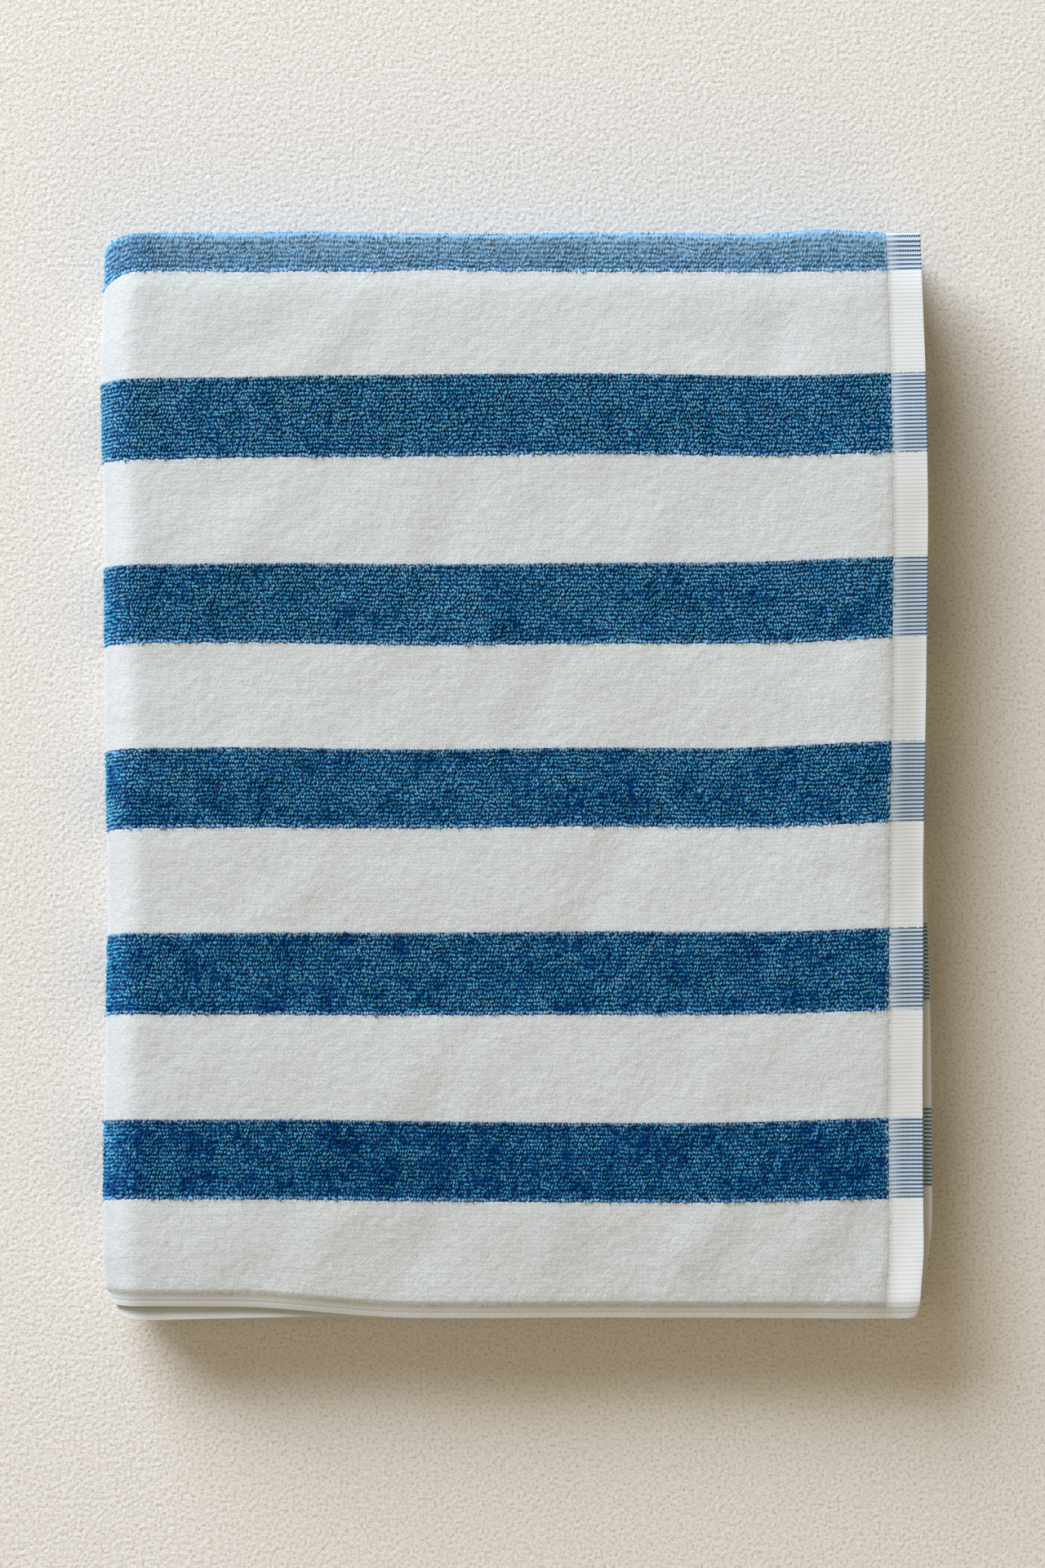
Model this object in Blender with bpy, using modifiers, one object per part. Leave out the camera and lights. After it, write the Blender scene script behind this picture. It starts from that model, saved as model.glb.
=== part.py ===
"""A striped terry bath towel, folded in half across its width and then twice along its length.

The towel is one rectangle of cloth: looped pile on both faces, a flat-woven header at each short
end and a narrow flat hem down each long side. It is folded on paper first: every point of the
flat cloth has a distance along the length and one across the width, and the functions below say
where that point lies in the folded towel. A grid of the flat cloth is moved there and thickened.

Metres, +Z up. The towel lies on Z = 0. The headers are at +X, the large round fold is at -X,
the widthwise fold is at +Y and the selvedges are at -Y.
"""

import math
from collections import namedtuple

import bmesh
import bpy
import numpy as np
from mathutils import Matrix

# Driving dimensions of the flat cloth
TOWEL_LENGTH = 1.50
TOWEL_WIDTH = 1.00
TERRY_THICKNESS = 0.0040
FLAT_WEAVE_THICKNESS = 0.0017
HEADER_WIDTH = 0.016
SIDE_HEM_WIDTH = 0.0050
PILE_EDGE = 0.0012  # the pile reaches its full height over this distance
TIGHT_BEND_SHARE = 0.85  # the pile is pressed flatter than this share in the two small turns

# Stripes run along the length. One blue stripe lies on the centre line.
STRIPE_PERIOD = 0.0862
BLUE_STRIPE = 0.0362
BLUE_STRIPES_EACH_SIDE = 5

# How the cloth lies when folded
LAYER_GAP = 0.0008
LAYER_PITCH = TERRY_THICKNESS + LAYER_GAP
PAIR_PITCH = 2 * LAYER_PITCH
HEADER_X = 0.1902  # the top header's outer edge
FOLD_Y = 0.2484  # centre of the widthwise fold's bend
FOLD_OFF_CENTRE = 0.002  # the outer layer's half of the width is this much short of half

# The cloth, two layers thick after the widthwise fold, runs back and forth in four lengths.
# level: the pair's place in the stack, 0 on the floor. fold_in: how far the widthwise fold is
# drawn in there. slip: how far the inner layer's selvedge is set in, at the run's start and end.
Run = namedtuple("Run", "name level length fold_in slip_start slip_end")
RUNS = (
    Run("top", 3, 0.3621, 0.0000, 0.0100, 0.0000),
    Run("bottom", 0, 0.3535, 0.0012, 0.0000, 0.0015),
    Run("third", 1, 0.3510, 0.0022, 0.0015, 0.0005),
    Run("second", 2, None, 0.0008, 0.0005, 0.0030),
)
CORNER_DRAW = 0.0035  # the widthwise fold is drawn in by this at the large round fold
HEADER_PEEK = 0.0048  # the inner layer's header slides out by this towards its free corner

# Outline of the two ends. share: how far from the widthwise fold (0) to the selvedge (1).
Edge = namedtuple("Edge", "share out")
HEADER_OUTLINE = (
    Edge(0.00, -0.0012),
    Edge(0.12, 0.0006),
    Edge(0.26, 0.0018),
    Edge(0.42, 0.0012),
    Edge(0.58, -0.0002),
    Edge(0.78, -0.0007),
    Edge(0.94, -0.0002),
    Edge(1.00, -0.0026),
)
ROUND_FOLD_OUTLINE = (
    Edge(0.00, -0.0014),
    Edge(0.10, 0.0018),
    Edge(0.25, 0.0002),
    Edge(0.42, -0.0003),
    Edge(0.62, -0.0019),
    Edge(0.80, -0.0001),
    Edge(0.94, 0.0006),
    Edge(1.00, -0.0022),
)
OUTLINE_REACH = 0.11  # an end's outline fades out over this distance into the towel

# The stack settles towards the edges where the cloth is thin. share: how much of the height
# is lost at the edge itself. reach: how far from the edge it starts.
Sink = namedtuple("Sink", "share reach")
HEADER_SINKS = (Sink(0.030, 0.060), Sink(0.040, 0.020))
SELVEDGE_SINKS = (Sink(0.035, 0.055), Sink(0.080, 0.009))

# Long, low swells of the layers. height: a share of the height above the floor.
Swell = namedtuple("Swell", "height along across turn")
SWELLS = (
    Swell(0.012, 0.240, 0.410, 0.6),
    Swell(0.009, 0.135, 0.230, 2.1),
    Swell(0.006, 0.410, 0.120, 4.0),
)
FOLD_WAVE = 0.0008
FOLD_WAVE_LENGTH = 0.17

# How finely the cloth is divided
RUN_STEPS = 5
LARGE_TURN_STEPS = 10
SMALL_TURN_STEPS = 6
WIDTH_FOLD_STEPS = 6

TURN_COUNT = len(RUNS) - 1
HALF_PITCH = LAYER_PITCH / 2
BEND_LENGTH = math.pi * HALF_PITCH
FOLD_V = TOWEL_WIDTH / 2 - FOLD_OFF_CENTRE

Section = namedtuple("Section", "run start length x z heading radius rise")


def level_height(level):
    """Height of a pair's centre line above the floor."""
    return TERRY_THICKNESS / 2 + LAYER_PITCH / 2 + level * PAIR_PITCH


def fold_path():
    """The straight runs and half-round turns of the pair, in order from the top header."""
    turns = [abs(a.level - b.level) * PAIR_PITCH / 2 for a, b in zip(RUNS, RUNS[1:])]
    known = sum(run.length for run in RUNS if run.length)
    last_length = TOWEL_LENGTH - known - math.pi * sum(turns)
    sections = []
    start, x, heading = 0.0, HEADER_X, -1
    for i, run in enumerate(RUNS):
        length = run.length or last_length
        z = level_height(run.level)
        sections.append(Section(i, start, length, x, z, heading, 0.0, 0))
        start += length
        x += heading * length
        if i < TURN_COUNT:
            rise = 1 if RUNS[i + 1].level > run.level else -1
            radius = turns[i]
            turn_z = z + rise * radius
            sections.append(Section(i, start, math.pi * radius, x, turn_z, heading, radius, rise))
            start += math.pi * radius
            heading = -heading
    return sections


PATH = fold_path()


def section_at(u):
    """The section of the path that holds the distance u from the top header."""
    for section in PATH:
        if u <= section.start + section.length:
            return section
    return PATH[-1]


def centre_line(u):
    """Place (x, z) of the pair's centre line at u, and the outer layer's direction from it."""
    section = section_at(u)
    gone = u - section.start
    if not section.radius:
        return section.x + section.heading * gone, section.z, 0.0, -section.heading
    angle = gone / section.radius
    x = section.x + section.heading * section.radius * math.sin(angle)
    z = section.z - section.rise * section.radius * math.cos(angle)
    return x, z, section.rise * math.sin(angle), -section.heading * math.cos(angle)


def between(u, at_start, at_end):
    """A value that each run has at its start and end, carried on through the turns."""
    section = section_at(u)
    share = min(max((u - section.start) / section.length, 0.0), 1.0)
    if section.radius:
        before = at_end(RUNS[section.run])
        after = at_start(RUNS[section.run + 1])
    else:
        before = at_start(RUNS[section.run])
        after = at_end(RUNS[section.run])
    return before + (after - before) * share


def smooth_step(low, high, value):
    share = min(max((value - low) / (high - low), 0.0), 1.0)
    return share * share * (3 - 2 * share)


def width_fold(v):
    """Distance from the bend's centre towards +Y, and the layer's side: 1 outer, -1 inner."""
    bend_start = FOLD_V - BEND_LENGTH / 2
    if v <= bend_start:
        return v - bend_start, 1.0
    if v >= bend_start + BEND_LENGTH:
        return bend_start + BEND_LENGTH - v, -1.0
    angle = (v - bend_start) / HALF_PITCH
    return HALF_PITCH * math.sin(angle), math.cos(angle)


def outline_offset(outline, share):
    """How far an end's edge stands out at this share of the folded width."""
    shares = [edge.share for edge in outline]
    outs = [edge.out for edge in outline]
    return float(np.interp(share, shares, outs))


def lost_height(sinks, inside):
    """The share of the height lost at this distance inside an edge."""
    return sum(sink.share * (1 - smooth_step(0.0, sink.reach, inside)) for sink in sinks)


def settle(x, y, z):
    """Moves a point with the uneven outline of the stack and the way its layers have settled."""
    share = min(max((FOLD_Y - y) / FOLD_V, 0.0), 1.0)
    left = PATH[1].x
    height = 1 - lost_height(HEADER_SINKS, HEADER_X - x)
    height -= lost_height(SELVEDGE_SINKS, y - (FOLD_Y - FOLD_V))
    for swell in SWELLS:
        turns = x / swell.along + y / swell.across
        height += swell.height * math.sin(math.tau * turns + swell.turn)
    at_header = smooth_step(HEADER_X - OUTLINE_REACH, HEADER_X, x)
    at_round = 1 - smooth_step(left, left + OUTLINE_REACH, x)
    wave = FOLD_WAVE * math.sin(math.tau * x / FOLD_WAVE_LENGTH)
    x += at_header * outline_offset(HEADER_OUTLINE, share)
    x -= at_round * outline_offset(ROUND_FOLD_OUTLINE, share)
    floor_layer = TERRY_THICKNESS / 2
    return x, y + wave * (1 - share), floor_layer + (z - floor_layer) * height


def folded(u, v):
    """Where the point u along and v across the flat cloth lies in the folded towel."""
    reach, side = width_fold(v)
    inner_share = smooth_step(FOLD_V, TOWEL_WIDTH, v)
    fold_in = between(u, lambda run: run.fold_in, lambda run: run.fold_in)
    slip = between(u, lambda run: run.slip_start, lambda run: run.slip_end)
    turn = PATH[1]
    corner = 0.0
    if turn.start <= u <= turn.start + turn.length:
        corner = CORNER_DRAW * math.sin(math.pi * (u - turn.start) / turn.length)
    peek = HEADER_PEEK * smooth_step(FOLD_V * 1.45, FOLD_V * 1.85, v)
    peek *= 1 - smooth_step(0.0, TOWEL_LENGTH / 2, u)
    x, z, out_x, out_z = centre_line(u - peek)
    y = FOLD_Y - fold_in - corner + reach + slip * inner_share
    offset = side * HALF_PITCH
    return settle(x + out_x * offset, y, z + out_z * offset)


def length_stations():
    """Distances along the cloth at which the grid has a line."""
    stations = {0.0, HEADER_WIDTH, HEADER_WIDTH + PILE_EDGE}
    stations |= {TOWEL_LENGTH - station for station in stations}
    for section in PATH:
        steps = RUN_STEPS
        if section.radius:
            steps = SMALL_TURN_STEPS if section.radius < PAIR_PITCH else LARGE_TURN_STEPS
        for step in range(1, steps):
            stations.add(section.start + section.length * step / steps)
        if section.start:
            stations.add(section.start)
    return sorted(stations)


def stripe_edges():
    """Distances across the cloth at which a blue stripe starts or ends."""
    edges = []
    for stripe in range(-BLUE_STRIPES_EACH_SIDE, BLUE_STRIPES_EACH_SIDE + 1):
        centre = TOWEL_WIDTH / 2 + stripe * STRIPE_PERIOD
        edges += [centre - BLUE_STRIPE / 2, centre + BLUE_STRIPE / 2]
    return edges


def width_stations():
    """Distances across the cloth at which the grid has a line."""
    stations = {0.0, SIDE_HEM_WIDTH, SIDE_HEM_WIDTH + PILE_EDGE}
    stations |= {TOWEL_WIDTH - station for station in stations}
    stations |= set(stripe_edges())
    for step in range(WIDTH_FOLD_STEPS + 1):
        stations.add(FOLD_V + BEND_LENGTH * (step / WIDTH_FOLD_STEPS - 0.5))
    return sorted(stations)


def is_blue(v):
    from_centre = abs(v - TOWEL_WIDTH / 2)
    stripe = round(from_centre / STRIPE_PERIOD)
    return abs(from_centre - stripe * STRIPE_PERIOD) < BLUE_STRIPE / 2


def thickness_share(u, v):
    """The cloth's thickness as a share of the terry's: less where it has no pile or bends hard."""
    from_end = min(u, TOWEL_LENGTH - u) - PILE_EDGE / 2
    from_side = min(v, TOWEL_WIDTH - v) - PILE_EDGE / 2
    if from_end < HEADER_WIDTH or from_side < SIDE_HEM_WIDTH:
        return FLAT_WEAVE_THICKNESS / TERRY_THICKNESS
    section = section_at(u)
    bends_hard = 0 < section.radius < PAIR_PITCH
    return TIGHT_BEND_SHARE if bends_hard and section.start < u else 1.0


def cotton(name, colour, roughness):
    material = bpy.data.materials.new(name)
    material.use_nodes = True
    shader = material.node_tree.nodes["Principled BSDF"]
    shader.inputs["Base Color"].default_value = (*colour, 1.0)
    shader.inputs["Roughness"].default_value = roughness
    shader.inputs["Metallic"].default_value = 0.0
    return material


def cloth_grid(along, across):
    """A flat grid with one line per station, moved to its folded place and coloured."""
    grid = bmesh.new()
    pile = grid.verts.layers.deform.verify()
    columns = len(along) - 1
    rows = len(across) - 1
    bmesh.ops.create_grid(grid, x_segments=columns, y_segments=rows, size=0.5)
    places = {}
    for vertex in grid.verts:
        column = round((vertex.co.x + 0.5) * columns)
        row = round((vertex.co.y + 0.5) * rows)
        places[vertex] = (along[column], across[row])
    for face in grid.faces:
        middle = sum(places[vertex][1] for vertex in face.verts) / len(face.verts)
        face.material_index = 1 if is_blue(middle) else 0
        face.smooth = True
    for vertex, (u, v) in places.items():
        vertex.co = folded(u, v)
        vertex[pile][0] = thickness_share(u, v)
    return grid


def make_towel(collection):
    grid = cloth_grid(length_stations(), width_stations())
    mesh = bpy.data.meshes.new("towel")
    grid.to_mesh(mesh)
    grid.free()
    towel = bpy.data.objects.new("towel", mesh)
    collection.objects.link(towel)
    towel.vertex_groups.new(name="pile height")
    mesh.materials.append(cotton("white terry cotton", (0.72, 0.73, 0.71), 0.95))
    mesh.materials.append(cotton("blue terry cotton", (0.035, 0.12, 0.25), 0.95))
    thickness = towel.modifiers.new("terry thickness", "SOLIDIFY")
    thickness.thickness = TERRY_THICKNESS
    thickness.offset = 0.0
    thickness.use_even_offset = True
    thickness.vertex_group = "pile height"
    thickness.thickness_vertex_group = 0.0
    return towel


def centre_on_origin(towel):
    """Moves the mesh so that the middle of the footprint is at X = Y = 0."""
    bpy.context.view_layer.update()
    evaluated = towel.evaluated_get(bpy.context.evaluated_depsgraph_get())
    corners = np.array([corner[:] for corner in evaluated.bound_box])
    middle = (corners.min(axis=0) + corners.max(axis=0)) / 2
    towel.data.transform(Matrix.Translation((-middle[0], -middle[1], 0.0)))


def main():
    for thing in list(bpy.data.objects):
        bpy.data.objects.remove(thing)
    collection = bpy.data.collections.new("Bath towel")
    bpy.context.scene.collection.children.link(collection)
    centre_on_origin(make_towel(collection))


main()
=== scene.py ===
# %% [markdown]
# # A folded terry bath towel
#
# A bath towel is one rectangle of cloth. Its ground is a flat weave, and extra warp yarns stand
# up from it on both faces as small loops, the pile. This lesson lays the flat cloth in its folds
# with a few formulas, and then sets real loops on every part of the cloth that can be seen.
# The frame is the model that the looks are built on: it gives the size and the place.

import math
from collections import namedtuple

import bmesh
import bpy
import numpy as np
from mathutils import Matrix, Vector


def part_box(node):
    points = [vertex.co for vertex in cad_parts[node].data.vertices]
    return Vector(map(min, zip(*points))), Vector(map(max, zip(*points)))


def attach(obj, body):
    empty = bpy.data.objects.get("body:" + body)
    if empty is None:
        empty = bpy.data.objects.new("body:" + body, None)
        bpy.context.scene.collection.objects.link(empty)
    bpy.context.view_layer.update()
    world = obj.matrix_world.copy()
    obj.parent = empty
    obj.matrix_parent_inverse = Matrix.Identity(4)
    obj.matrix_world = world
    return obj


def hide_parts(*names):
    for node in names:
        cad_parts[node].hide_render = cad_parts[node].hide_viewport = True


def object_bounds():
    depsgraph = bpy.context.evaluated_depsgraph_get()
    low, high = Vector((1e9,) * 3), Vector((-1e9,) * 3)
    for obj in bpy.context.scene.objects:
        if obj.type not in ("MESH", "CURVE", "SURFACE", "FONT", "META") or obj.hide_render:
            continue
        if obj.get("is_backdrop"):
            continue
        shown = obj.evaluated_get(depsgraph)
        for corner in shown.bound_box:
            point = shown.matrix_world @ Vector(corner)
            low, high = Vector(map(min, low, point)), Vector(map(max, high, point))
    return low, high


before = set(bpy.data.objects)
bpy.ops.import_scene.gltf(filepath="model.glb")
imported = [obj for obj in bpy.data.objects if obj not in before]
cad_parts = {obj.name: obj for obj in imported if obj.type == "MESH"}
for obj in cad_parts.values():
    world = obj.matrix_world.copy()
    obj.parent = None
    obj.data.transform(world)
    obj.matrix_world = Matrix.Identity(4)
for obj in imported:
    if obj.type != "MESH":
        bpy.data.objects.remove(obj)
frame_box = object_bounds()
TOWEL_LOW, TOWEL_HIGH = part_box("towel")
STACK_TOP = TOWEL_HIGH.z
print("folded size in mm:", [round(1000 * side, 1) for side in TOWEL_HIGH - TOWEL_LOW])

# %% [markdown]
# ## The camera
#
# The towel lies on the floor and is seen from straight above, which shows its outline without
# any tilt. A camera with no rotation already looks down, with +Y at the top of the picture. It
# hangs well above the towel and has a long lens, so that the thick edges hardly show. The lens
# follows from how much of the floor the long side of the picture takes in.

# %% Hang the camera
CAMERA_ABOVE_TOP = 1.40
SEEN_LENGTH = 0.7225
SENSOR = 36.0
CAMERA_X = 0.0039
CAMERA_Y = -0.0012


def add_object(name, data):
    made = bpy.data.objects.new(name, data)
    bpy.context.scene.collection.objects.link(made)
    return made


def hang_camera():
    data = bpy.data.cameras.new("overhead")
    data.sensor_width = SENSOR
    data.lens = SENSOR * CAMERA_ABOVE_TOP / SEEN_LENGTH
    camera = add_object("overhead", data)
    camera.location = (CAMERA_X, CAMERA_Y, STACK_TOP + CAMERA_ABOVE_TOP)
    bpy.context.scene.camera = camera
    return camera


print("lens in mm:", round(hang_camera().data.lens, 1))

# %% [markdown]
# ## The light
#
# Loops show only by the small shadows between them, so the light has to come from one side, yet
# be broad enough to stay soft. One large, slightly cool lamp hangs low at the upper left, as a
# window would, so the shadow is long and has no edge. Two weak, warm lamps stand for the light
# that comes back from a pale wall and from the room, and the world fills the shadows with a
# little warm light. The standard view transform keeps white cotton white.

# %% Hang the lamps
Lamp = namedtuple("Lamp", "name place side power colour")
WINDOW = Lamp("window", Vector((-3.60, 5.20, 2.05)), 5.0, 1290.0, (0.78, 0.865, 1.0))
WALL = Lamp("pale wall", Vector((-1.20, -0.10, 2.60)), 1.6, 9.0, (1.0, 0.90, 0.74))
BOUNCE = Lamp("bounce", Vector((1.20, -2.20, 1.00)), 1.6, 12.0, (1.0, 0.86, 0.62))
FILL_COLOUR = (1.0, 0.82, 0.52, 1.0)
FILL_STRENGTH = 0.26


def hang(lamp):
    data = bpy.data.lights.new(lamp.name, "AREA")
    data.shape = "SQUARE"
    data.size = lamp.side
    data.energy = lamp.power
    data.color = lamp.colour
    light = add_object(lamp.name, data)
    light.location = lamp.place
    light.rotation_euler = lamp.place.to_track_quat("Z", "Y").to_euler()


def fill_shadows():
    world = bpy.data.worlds.new("room")
    world.use_nodes = True
    background = world.node_tree.nodes["Background"]
    background.inputs["Color"].default_value = FILL_COLOUR
    background.inputs["Strength"].default_value = FILL_STRENGTH
    bpy.context.scene.world = world


for lamp in (WINDOW, WALL, BOUNCE):
    hang(lamp)
    print(lamp.name, "is", round(lamp.place.length, 2), "m away")
fill_shadows()
bpy.context.scene.view_settings.view_transform = "Standard"

# %% [markdown]
# ## Node helpers
#
# The finishes below are built from shader nodes, and a woven pattern needs many small sums. A
# Value stands for the output of a node, and a sum with one adds the next Math node, so that a
# pattern reads like a formula.


# %% Node helpers
def new_material(name, roughness, sheen=0.0, gloss=0.2):
    """A material with a Principled shader. Returns it with its node tree and shader."""
    material = bpy.data.materials.new(name)
    material.use_nodes = True
    shader = material.node_tree.nodes["Principled BSDF"]
    shader.inputs["Roughness"].default_value = roughness
    shader.inputs["Sheen Weight"].default_value = sheen
    shader.inputs["Sheen Roughness"].default_value = 0.5
    shader.inputs["Specular IOR Level"].default_value = gloss
    return material, material.node_tree, shader


class Value:
    """A number, colour or place that differs over the surface."""

    def __init__(self, tree, socket):
        self.tree, self.socket = tree, socket

    def apply(self, operation, *others):
        return add_node(self.tree, "Math", (self, *others), operation=operation)

    def __add__(self, other):
        return self.apply("ADD", other)

    def __sub__(self, other):
        return self.apply("SUBTRACT", other)

    def __rsub__(self, other):
        return add_node(self.tree, "Math", (other, self), operation="SUBTRACT")

    def __mul__(self, other):
        return self.apply("MULTIPLY", other)

    def __truediv__(self, other):
        return self.apply("DIVIDE", other)


def add_node(tree, kind, inputs, output=0, **settings):
    """Adds a node with linked or plain inputs, by number or by name. Returns one output."""
    node = tree.nodes.new("ShaderNode" + kind)
    for name, setting in settings.items():
        setattr(node, name, setting)
    for key, value in inputs.items() if isinstance(inputs, dict) else enumerate(inputs):
        if isinstance(value, Value):
            tree.links.new(value.socket, node.inputs[key])
        else:
            node.inputs[key].default_value = value
    return Value(tree, node.outputs[output])


def feed(shader, name, value):
    value.tree.links.new(value.socket, shader.inputs[name])


def soft_range(value, low, high, to_low=0.0, to_high=1.0):
    """The value's place between low and high, with soft ends."""
    numbers = (value, low, high, to_low, to_high)
    return add_node(value.tree, "MapRange", numbers, interpolation_type="SMOOTHSTEP")


def mix_colour(factor, first, second):
    return add_node(factor.tree, "Mix", {0: factor, 6: first, 7: second}, 2, data_type="RGBA")


def noise_at(place, size, detail=2.0):
    """Noise whose spots are about `size` metres across, between 0 and 1."""
    inputs = {"Vector": place, "Scale": 1 / size, "Detail": detail}
    return add_node(place.tree, "TexNoise", inputs)


def object_place(tree):
    return add_node(tree, "TexCoord", (), "Object")


def attribute_of(tree, name):
    """A number that the mesh carries on its vertices."""
    return add_node(tree, "Attribute", (), "Fac", attribute_name=name)


def bumped(shader, height, depth, strength=1.0):
    """Raises the surface by a height pattern that is `depth` metres high."""
    inputs = {"Strength": strength, "Distance": depth, "Height": height}
    feed(shader, "Normal", add_node(height.tree, "Bump", inputs))


# %% [markdown]
# ## The floor
#
# The floor only has to catch the shadow, so it is one large pale plane. A faint speckle and a
# very shallow grain keep it from looking like paper.

# %% Lay the floor
FLOOR_SIDE = 6.0
FLOOR_COLOUR = (0.80, 0.765, 0.715, 1.0)
FLOOR_SPECK_COLOUR = (0.56, 0.50, 0.42, 1.0)
FLOOR_SPECK = 0.0014
FLOOR_SPECK_EDGES = (0.45, 0.75)
FLOOR_GRAIN = 0.0022
FLOOR_GRAIN_EDGES = (0.35, 0.65)
FLOOR_GRAIN_TONE = 0.15
FLOOR_GRAIN_DEPTH = 0.0004


def floor_finish():
    material, tree, shader = new_material("pale floor", 0.8)
    place = object_place(tree)
    grain = noise_at(place, FLOOR_GRAIN, detail=3.0)
    speck = soft_range(noise_at(place, FLOOR_SPECK, detail=3.0), *FLOOR_SPECK_EDGES)
    colour = mix_colour(speck, FLOOR_COLOUR, FLOOR_SPECK_COLOUR)
    darker = soft_range(grain, *FLOOR_GRAIN_EDGES, 0.0, FLOOR_GRAIN_TONE)
    feed(shader, "Base Color", mix_colour(darker, colour, FLOOR_SPECK_COLOUR))
    bumped(shader, grain, FLOOR_GRAIN_DEPTH)
    return material


def to_mesh(shape, name):
    mesh = bpy.data.meshes.new(name)
    shape.to_mesh(mesh)
    shape.free()
    return mesh


def lay_floor():
    plane = bmesh.new()
    bmesh.ops.create_grid(plane, x_segments=1, y_segments=1, size=FLOOR_SIDE / 2)
    mesh = to_mesh(plane, "floor")
    mesh.materials.append(floor_finish())
    floor = add_object("floor", mesh)
    floor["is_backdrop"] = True
    print("floor of", FLOOR_SIDE, "m")


lay_floor()

# %% [markdown]
# ## The flat cloth
#
# Before it is folded, a point of the cloth is known by two distances: u along the length, from
# the header that ends up on top, and v across the width. Everything about the weave depends only
# on these two, such as the stripes, which run along the length, the flat header at each short
# end, and the narrow hem down each long side.

# %% Sizes of the flat cloth
TOWEL_LENGTH = 1.50
TOWEL_WIDTH = 1.00
TERRY_THICKNESS = 0.0040
HEADER_WIDTH = 0.0160
SIDE_HEM_WIDTH = 0.0052
STRIPE_PERIOD = 0.0862
BLUE_STRIPE = 0.0370
BLUE_STRIPES_EACH_SIDE = 5
LOOP_ROWS_PER_BLUE_STRIPE = 20
ROW_PITCH = BLUE_STRIPE / LOOP_ROWS_PER_BLUE_STRIPE
LOOP_PITCH = 0.0013


def stripes():
    """(start, end, is_blue) of every stripe across the cloth, without the side hems."""
    edges = []
    for number in range(-BLUE_STRIPES_EACH_SIDE, BLUE_STRIPES_EACH_SIDE + 1):
        centre = TOWEL_WIDTH / 2 + number * STRIPE_PERIOD
        edges += [centre - BLUE_STRIPE / 2, centre + BLUE_STRIPE / 2]
    edges = [SIDE_HEM_WIDTH, *edges, TOWEL_WIDTH - SIDE_HEM_WIDTH]
    return [(a, b, i % 2 == 1) for i, (a, b) in enumerate(zip(edges, edges[1:]))]


print(len(stripes()), "stripes; loop rows are", round(1000 * ROW_PITCH, 2), "mm apart")

# %% [markdown]
# ## How it is folded
#
# The towel is first folded in half across its width. The pair of layers is then folded back and
# forth along its length into four runs, so the folded towel is eight layers thick. The runs are
# joined by half-round turns: one large turn wraps round the left end from the top run to the
# bottom one, and two small turns lie inside. The numbers are the frame's own.

# %% Sizes of the folds
LAYER_GAP = 0.0008
LAYER_PITCH = TERRY_THICKNESS + LAYER_GAP
PAIR_PITCH = 2 * LAYER_PITCH
HALF_PITCH = LAYER_PITCH / 2
HEADER_X = 0.1902
FOLD_Y = 0.2484
FOLD_V = TOWEL_WIDTH / 2 - 0.002
BEND_LENGTH = math.pi * HALF_PITCH
BEND_START = FOLD_V - BEND_LENGTH / 2

Run = namedtuple("Run", "level length fold_in slip_start slip_end")
RUNS = (
    Run(3, 0.3621, 0.0000, 0.0100, 0.0007),
    Run(0, 0.3535, 0.0012, 0.0000, 0.0015),
    Run(1, 0.3510, 0.0022, 0.0015, 0.0005),
    Run(2, None, 0.0008, 0.0005, 0.0030),
)
Section = namedtuple("Section", "run start length x z heading radius rise")


def fold_path():
    """The straight runs and half-round turns of the pair, in order from the top header."""
    turns = [abs(a.level - b.level) * PAIR_PITCH / 2 for a, b in zip(RUNS, RUNS[1:])]
    known = sum(run.length for run in RUNS if run.length)
    last_length = TOWEL_LENGTH - known - math.pi * sum(turns)
    path, start, x, heading = [], 0.0, HEADER_X, -1
    for i, run in enumerate(RUNS):
        length = run.length or last_length
        z = TERRY_THICKNESS / 2 + HALF_PITCH + run.level * PAIR_PITCH
        path.append(Section(i, start, length, x, z, heading, 0.0, 0))
        start += length
        x += heading * length
        if i < len(turns):
            rise = 1 if RUNS[i + 1].level > run.level else -1
            turn = math.pi * turns[i]
            path.append(Section(i, start, turn, x, z + rise * turns[i], heading, turns[i], rise))
            start += turn
            heading = -heading
    return path


PATH = fold_path()
TOP_RUN, ROUND_TURN, _, RIGHT_TURN = PATH[:4]
print("turn radii in mm:", [round(1000 * part.radius, 1) for part in PATH if part.radius])

# %% [markdown]
# ## From the flat cloth to its folds
#
# Each function below takes whole arrays, because the same rule has to place some hundred
# thousand loops as well as the cloth. The last of them is used everywhere: it takes u, v and a
# height above the middle of the cloth, and gives the place in the folded towel.

# %% Helpers for arrays
KNOTS = 64


def smooth_step(low, high, value):
    share = np.clip((value - low) / (high - low), 0.0, 1.0)
    return share * share * (3 - 2 * share)


def fade(low, high, value):
    return 1 - smooth_step(low, high, value)


def hump(distance, reach):
    """1 at distance 0, and next to nothing beyond twice the reach."""
    return np.exp(-((distance / reach) ** 2))


def soft_noise(x, y, size, seed):
    """Smooth random swells between -1 and 1, about `size` from one to the next."""
    knots = np.random.default_rng(seed).uniform(-1, 1, (KNOTS, KNOTS))
    column, row = np.floor(x / size).astype(int), np.floor(y / size).astype(int)
    across = smooth_step(0.0, 1.0, x / size - column)
    up = smooth_step(0.0, 1.0, y / size - row)
    corners = [[knots[(column + i) % KNOTS, (row + j) % KNOTS] for i in (0, 1)] for j in (0, 1)]
    low, high = (a + (b - a) * across for a, b in corners)
    return low + (high - low) * up


def from_end(u):
    return np.minimum(u, TOWEL_LENGTH - u)


def from_side(v):
    return np.minimum(v, TOWEL_WIDTH - v)


def on_outer(v):
    """True on the outer layer of the pair, which lies on top in the top run."""
    return v < TOWEL_WIDTH / 2


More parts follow.
